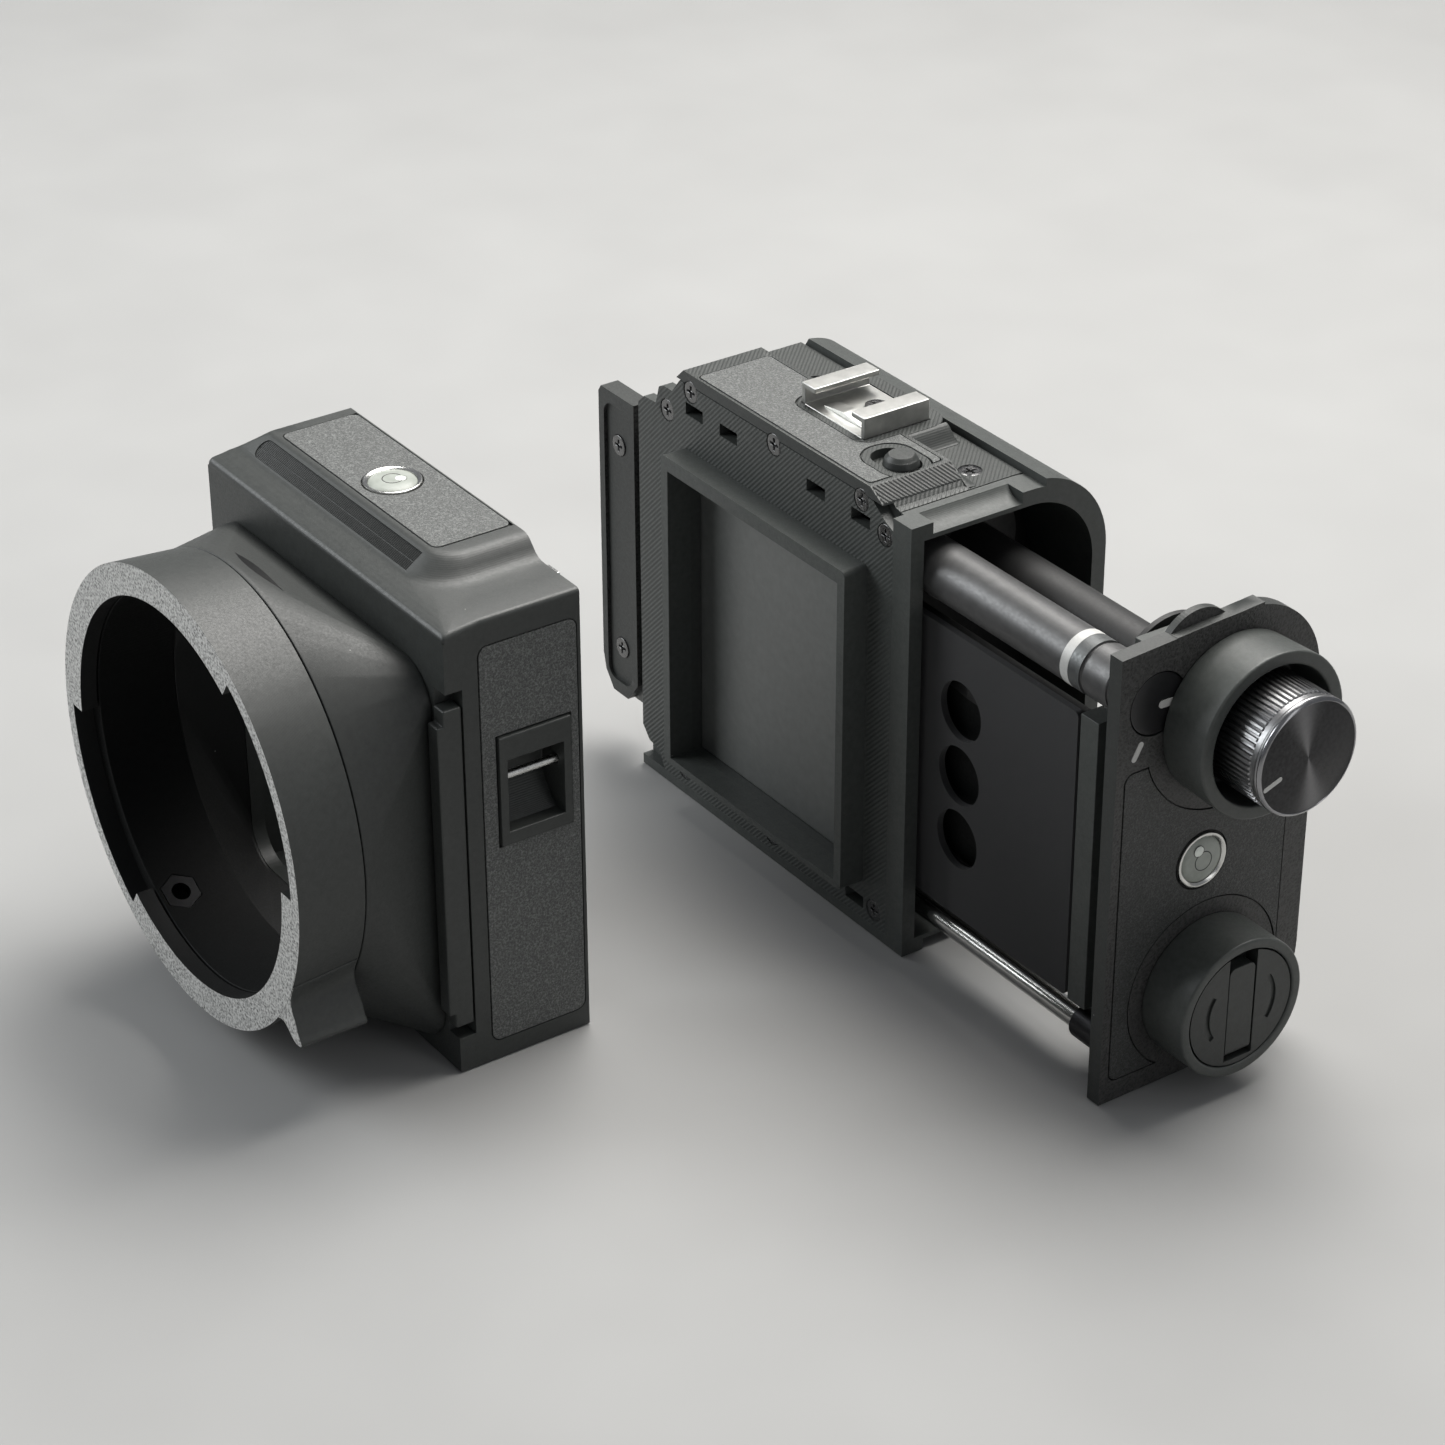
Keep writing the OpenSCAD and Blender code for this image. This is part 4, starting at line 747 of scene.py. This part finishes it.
# the raised front of the cover falls off to the right, and to a low rear
FRONT_END, FLOOR, RAISED = -5.3, 99.97, 3.7
SUNK = 99.2  # below the cover, where a ramp has run out
SLOPE_X, SLOPE_RUN = 34.6, 6.5
RIB_LEAN, RIB_HIGH, RIB_FOOT = 0.62, 0.2, 0.03


def deck_slope(x):
    return 103.7 - (x - SLOPE_X) * RAISED / SLOPE_RUN


def rib_height(x, y):
    """Slanting ribs 1 mm apart; the patch's border goes below the slope."""
    inside = 34.75 < x < 38.75 and -24.6 < y < FRONT_END
    ridge = abs((y - RIB_LEAN * x) % 1 - 0.5) * 2
    rib = RIB_FOOT + RIB_HIGH * min(1, max(0, ridge * 1.6 - 0.3))
    return deck_slope(x) + (rib if inside else -0.3)


patch("deck_ribs", [34.7] + steps(34.8, 38.7, 26) + [38.8],
      [-24.7] + steps(-24.55, -5.35, 250) + [-5.2], rib_height, "ribs", COVER_BODY)


def soft(u):
    """From 1 at u = 0 to 0 at u = 1, with no kinks."""
    u = min(1.0, max(0.0, u))
    return 1 - u * u * (3 - 2 * u)


def ramp_height(edge_rise, beside, y):
    """The higher of the ramp behind the raised front and the ramp beside the shoe."""
    behind = min(RAISED, max(0.0, edge_rise)) * soft((y - FRONT_END) / 3.0)
    beside = RAISED * soft(beside) * (1 if y < 5.0 else soft((y - 5.0) / 1.5))
    rise = max(behind, beside)
    return FLOOR + rise if rise > 0.05 else SUNK


def right_ramp(x, y):
    return ramp_height((41.1 - x) * RAISED / SLOPE_RUN, (x - 20.0) / 4.2, y)


def left_ramp(x, y):
    return ramp_height((x + 34.8) * 0.974, (-8.4 - x) / 3.4, y)


ramp_ys = steps(FRONT_END, 6.5, 56)
patch("deck_ramp_right", steps(20.0, 40.6, 96), ramp_ys, right_ramp, "ramp", COVER_BODY)
patch("deck_ramp_left", steps(-34.4, -8.4, 96), ramp_ys, left_ramp, "ramp", COVER_BODY)


# ---------------------------------------------------------------- side plate's rising top edge
PLATE_BODY = BODY_OF["side_plate"]
rise = across(109.0, 112.5, ((-25.0, 97.0), (-25.0, 100.0), (0.0, 101.25), (6.0, 101.6),
                             (9.5, 101.8), (9.5, 97.0)))
boss = across(110.6, 113.0, ((-24.0, 100.15), (0.0, 101.35), (6.0, 101.7), (8.0, 101.85),
                             (8.0, 106.0), (-24.0, 106.0)))
dress("side_plate", "side", 0.7, joined=(loose(rise),), cutters=(loose(boss),))


# ---------------------------------------------------------------- knob, dial and roller
def stadium(a, b, half_width):
    """Outline of a bar with round ends from a to b."""
    a, b = Vector(a), Vector(b)
    way = (b - a).normalized()
    start = math.atan2(way.y, way.x)
    ends = [(b, start - math.pi / 2), (a, start + math.pi / 2)]
    return [(p.x + half_width * math.cos(t), p.y + half_width * math.sin(t))
            for p, t0 in ends for t in [t0 + math.pi * i / 8 for i in range(9)]]


def mark(name, a, b, half_width, low, high, body):
    """A white bar from a to b (Y and Z), between two levels along X."""
    from_bmesh(name, across(low, high, stadium(a, b, half_width)), "white", body)


knob = Vector(KNOB)
KNOB_BODY, DIAL_BODY = BODY_OF["advance_knob"], BODY_OF["counter_dial"]
ROLLER_BODY = BODY_OF["counter_roller"]
RIDGES = 66
ridge_rings = []
for x, cut in ((115.1, 0.5), (115.6, 0.0), (131.2, 0.0), (131.5, 0.4)):
    points = []
    for i in range(RIDGES):
        for part, radius in ((0.0, 11.75), (0.3, 11.8), (0.45, 12.25), (0.85, 12.25)):
            t = 2 * math.pi * (i + part) / RIDGES
            points.append((x, knob.y + (radius - cut) * math.cos(t),
                           knob.z + (radius - cut) * math.sin(t)))
    ridge_rings.append(points)
from_bmesh("advance_knurl", loft(ridge_rings), "knurl", KNOB_BODY, ("advance_knob",))
lathe("advance_rim", ((131.2, 11.2), (131.2, 11.75), (131.35, 11.95), (132.6, 11.95),
                      (132.75, 12.2), (133.0, 12.3), (133.35, 12.3), (133.5, 12.2), (133.5, 0)),
      KNOB, ALONG_X, "knurl", KNOB_BODY)
lathe("advance_edge", ((133.4, 12.0), (133.5, 12.24), (133.75, 12.26), (134.0, 12.1),
                       (134.28, 11.75), (134.3, 11.6), (134.2, 11.5), (133.4, 11.5)),
      KNOB, ALONG_X, "chamfer", KNOB_BODY)
lathe("advance_face", ((133.45, 0), (133.45, 11.52), (134.18, 11.52), (134.22, 11.4),
                       (134.22, 0)),
      KNOB, ALONG_X, "face", KNOB_BODY)
index_turn = math.radians(199)
aim = Vector((math.cos(index_turn), math.sin(index_turn)))
mark("advance_index", aim * 7.2 + knob.yz, aim * 10.9 + knob.yz, 0.5, 134.1, 134.28, KNOB_BODY)
lathe("dial_disc", ((111.1, 0), (111.1, 6.4), (111.3, 6.5), (112.15, 6.5), (112.3, 6.4),
                    (112.36, 6.2), (112.36, 0)),
      ROLLER, ALONG_X, "dial", DIAL_BODY, replaces=("counter_dial",))
mark("dial_pointer", (-14.6, 87.5), (-11.0, 87.35), 0.8, 112.2, 112.46, DIAL_BODY)
mark("frame_index", (-19.4, 80.4), (-20.9, 77.7), 0.62, 112.4, 112.6, PLATE_BODY)
lathe("roller_white_band", ((90.6, 5.5), (90.6, 5.86), (92.9, 5.86), (92.9, 5.5)), ROLLER,
      ALONG_X, "white", ROLLER_BODY)
lathe("roller_mottled_band", ((92.95, 5.5), (92.95, 5.84), (96.15, 5.84), (96.15, 5.5)), ROLLER,
      ALONG_X, "mottled", ROLLER_BODY)


# ---------------------------------------------------------------- bubble levels
def level(name, origin, axis, body, cup, vial, bubble_at):
    """A round bubble level, which replaces the nodes cup and vial."""
    origin = Vector(origin)
    along, side, other = basis(axis)
    lathe(name + "_cup", ((0, 0), (0, 5.75), (0.2, 5.97), (2.6, 6.0), (2.82, 5.92), (2.9, 5.7),
                          (2.86, 5.5), (2.55, 5.02), (0.9, 5.0), (0.9, 0)),
          origin, axis, "bright", body, replaces=(cup,))
    lathe(name + "_liquid", ((1.0, 0), (1.0, 4.98), (2.3, 4.98), (2.55, 4.75), (2.85, 3.9),
                             (3.02, 2.4), (3.08, 0)),
          origin, axis, "liquid", body, replaces=(vial,))
    circle(name + "_ring", origin + along * 3.0, axis, 2.05, 30, 0.11, "ink", body)
    spot = origin + side * bubble_at[0] + other * bubble_at[1]
    lathe(name + "_bubble", ((2.7, 0), (2.7, 1.15), (2.98, 1.2), (3.12, 0.95), (3.2, 0.5),
                             (3.22, 0)), spot, axis, "bubble", body, 32)
    circle(name + "_bubble_edge", spot + along * 2.97, axis, 1.22, 24, 0.08, "ink", body)


level("side_level", (110.1, -2.2, 48.9), ALONG_X, PLATE_BODY, "back_level_cup",
      "back_level_vial", (2.5, 1.2))
level("top_level", (*LEVEL_AT, DECK - LEVEL_DEEP), ALONG_Z, "lens_body", "lens_level_cup",
      "lens_level_vial", (1.4, -0.8))

# ---------------------------------------------------------------- camera, floor and light
AZ, EL, ROLL = math.radians(55.42), math.radians(30.26), math.radians(-0.2)
CAMERA_AT = Vector((588.7, -442.5, 454.4))  # mm
scene = bpy.context.scene
right = Vector((math.cos(AZ), math.sin(AZ), 0))
back = Vector((math.sin(AZ) * math.cos(EL), -math.cos(AZ) * math.cos(EL), math.sin(EL)))
turn = Matrix.Rotation(ROLL, 3, back)
right, up = turn @ right, turn @ back.cross(right)
cam_data = bpy.data.cameras.new("camera")
cam_data.lens = 98.02
cam_data.sensor_width = 36
cam_data.clip_end = 20
camera = bpy.data.objects.new("camera", cam_data)
camera.matrix_world = Matrix.Translation(CAMERA_AT * MM) @ Matrix(
    (right, up, back)).transposed().to_4x4()
scene.collection.objects.link(camera)
scene.camera = camera

FLOOR_REACH, FLOOR_GAP = 6, 0.0003  # metres
floor_mesh = bpy.data.meshes.new("floor")
floor_mesh.from_pydata([(x * FLOOR_REACH, y * FLOOR_REACH, -FLOOR_GAP)
                        for x, y in ((-1, -1), (1, -1), (1, 1), (-1, 1))], [], [(0, 1, 2, 3)])
floor = bpy.data.objects.new("floor", floor_mesh)
scene.collection.objects.link(floor)
ground = Nodes("pale_floor")
ground.set(Base_Color=ground.colour(ground.noise(60, 2.0), (0.3, (0.30, 0.30, 0.296)),
                                    (0.7, (0.32, 0.32, 0.316))), Roughness=0.8)
floor_mesh.materials.append(ground.mat)

world = bpy.data.worlds.new("studio")
scene.world = world
world.use_nodes = True
sky = world.node_tree.nodes["Background"]
sky.inputs["Color"].default_value = (0.92, 0.95, 1.0, 1)
sky.inputs["Strength"].default_value = 0.24


def lamp(name, place, aim, size, power, colour=(1, 1, 1)):
    """A soft lamp aimed at a point; places and sizes in metres, power in watts."""
    data = bpy.data.lights.new(name, "AREA")
    data.shape = "RECTANGLE"
    data.size, data.size_y = size
    data.energy = power
    data.color = colour
    obj = bpy.data.objects.new(name, data)
    turn = (Vector(aim) - Vector(place)).normalized().to_track_quat("-Z", "Y")
    obj.matrix_world = Matrix.Translation(Vector(place)) @ turn.to_matrix().to_4x4()
    scene.collection.objects.link(obj)


lamp("top_soft", (-0.15, 0.35, 0.95), (0.02, -0.03, 0.05), (0.9, 0.7), 22, (1, 0.98, 0.95))
lamp("left_soft", (-0.75, -0.75, 0.55), (0, -0.05, 0.05), (0.7, 0.5), 8.5, (0.95, 0.98, 1))
lamp("right_strip", (0.9, 0.15, 0.45), (0.08, 0, 0.05), (0.25, 0.9), 0.9)

scene.view_settings.view_transform = "Standard"
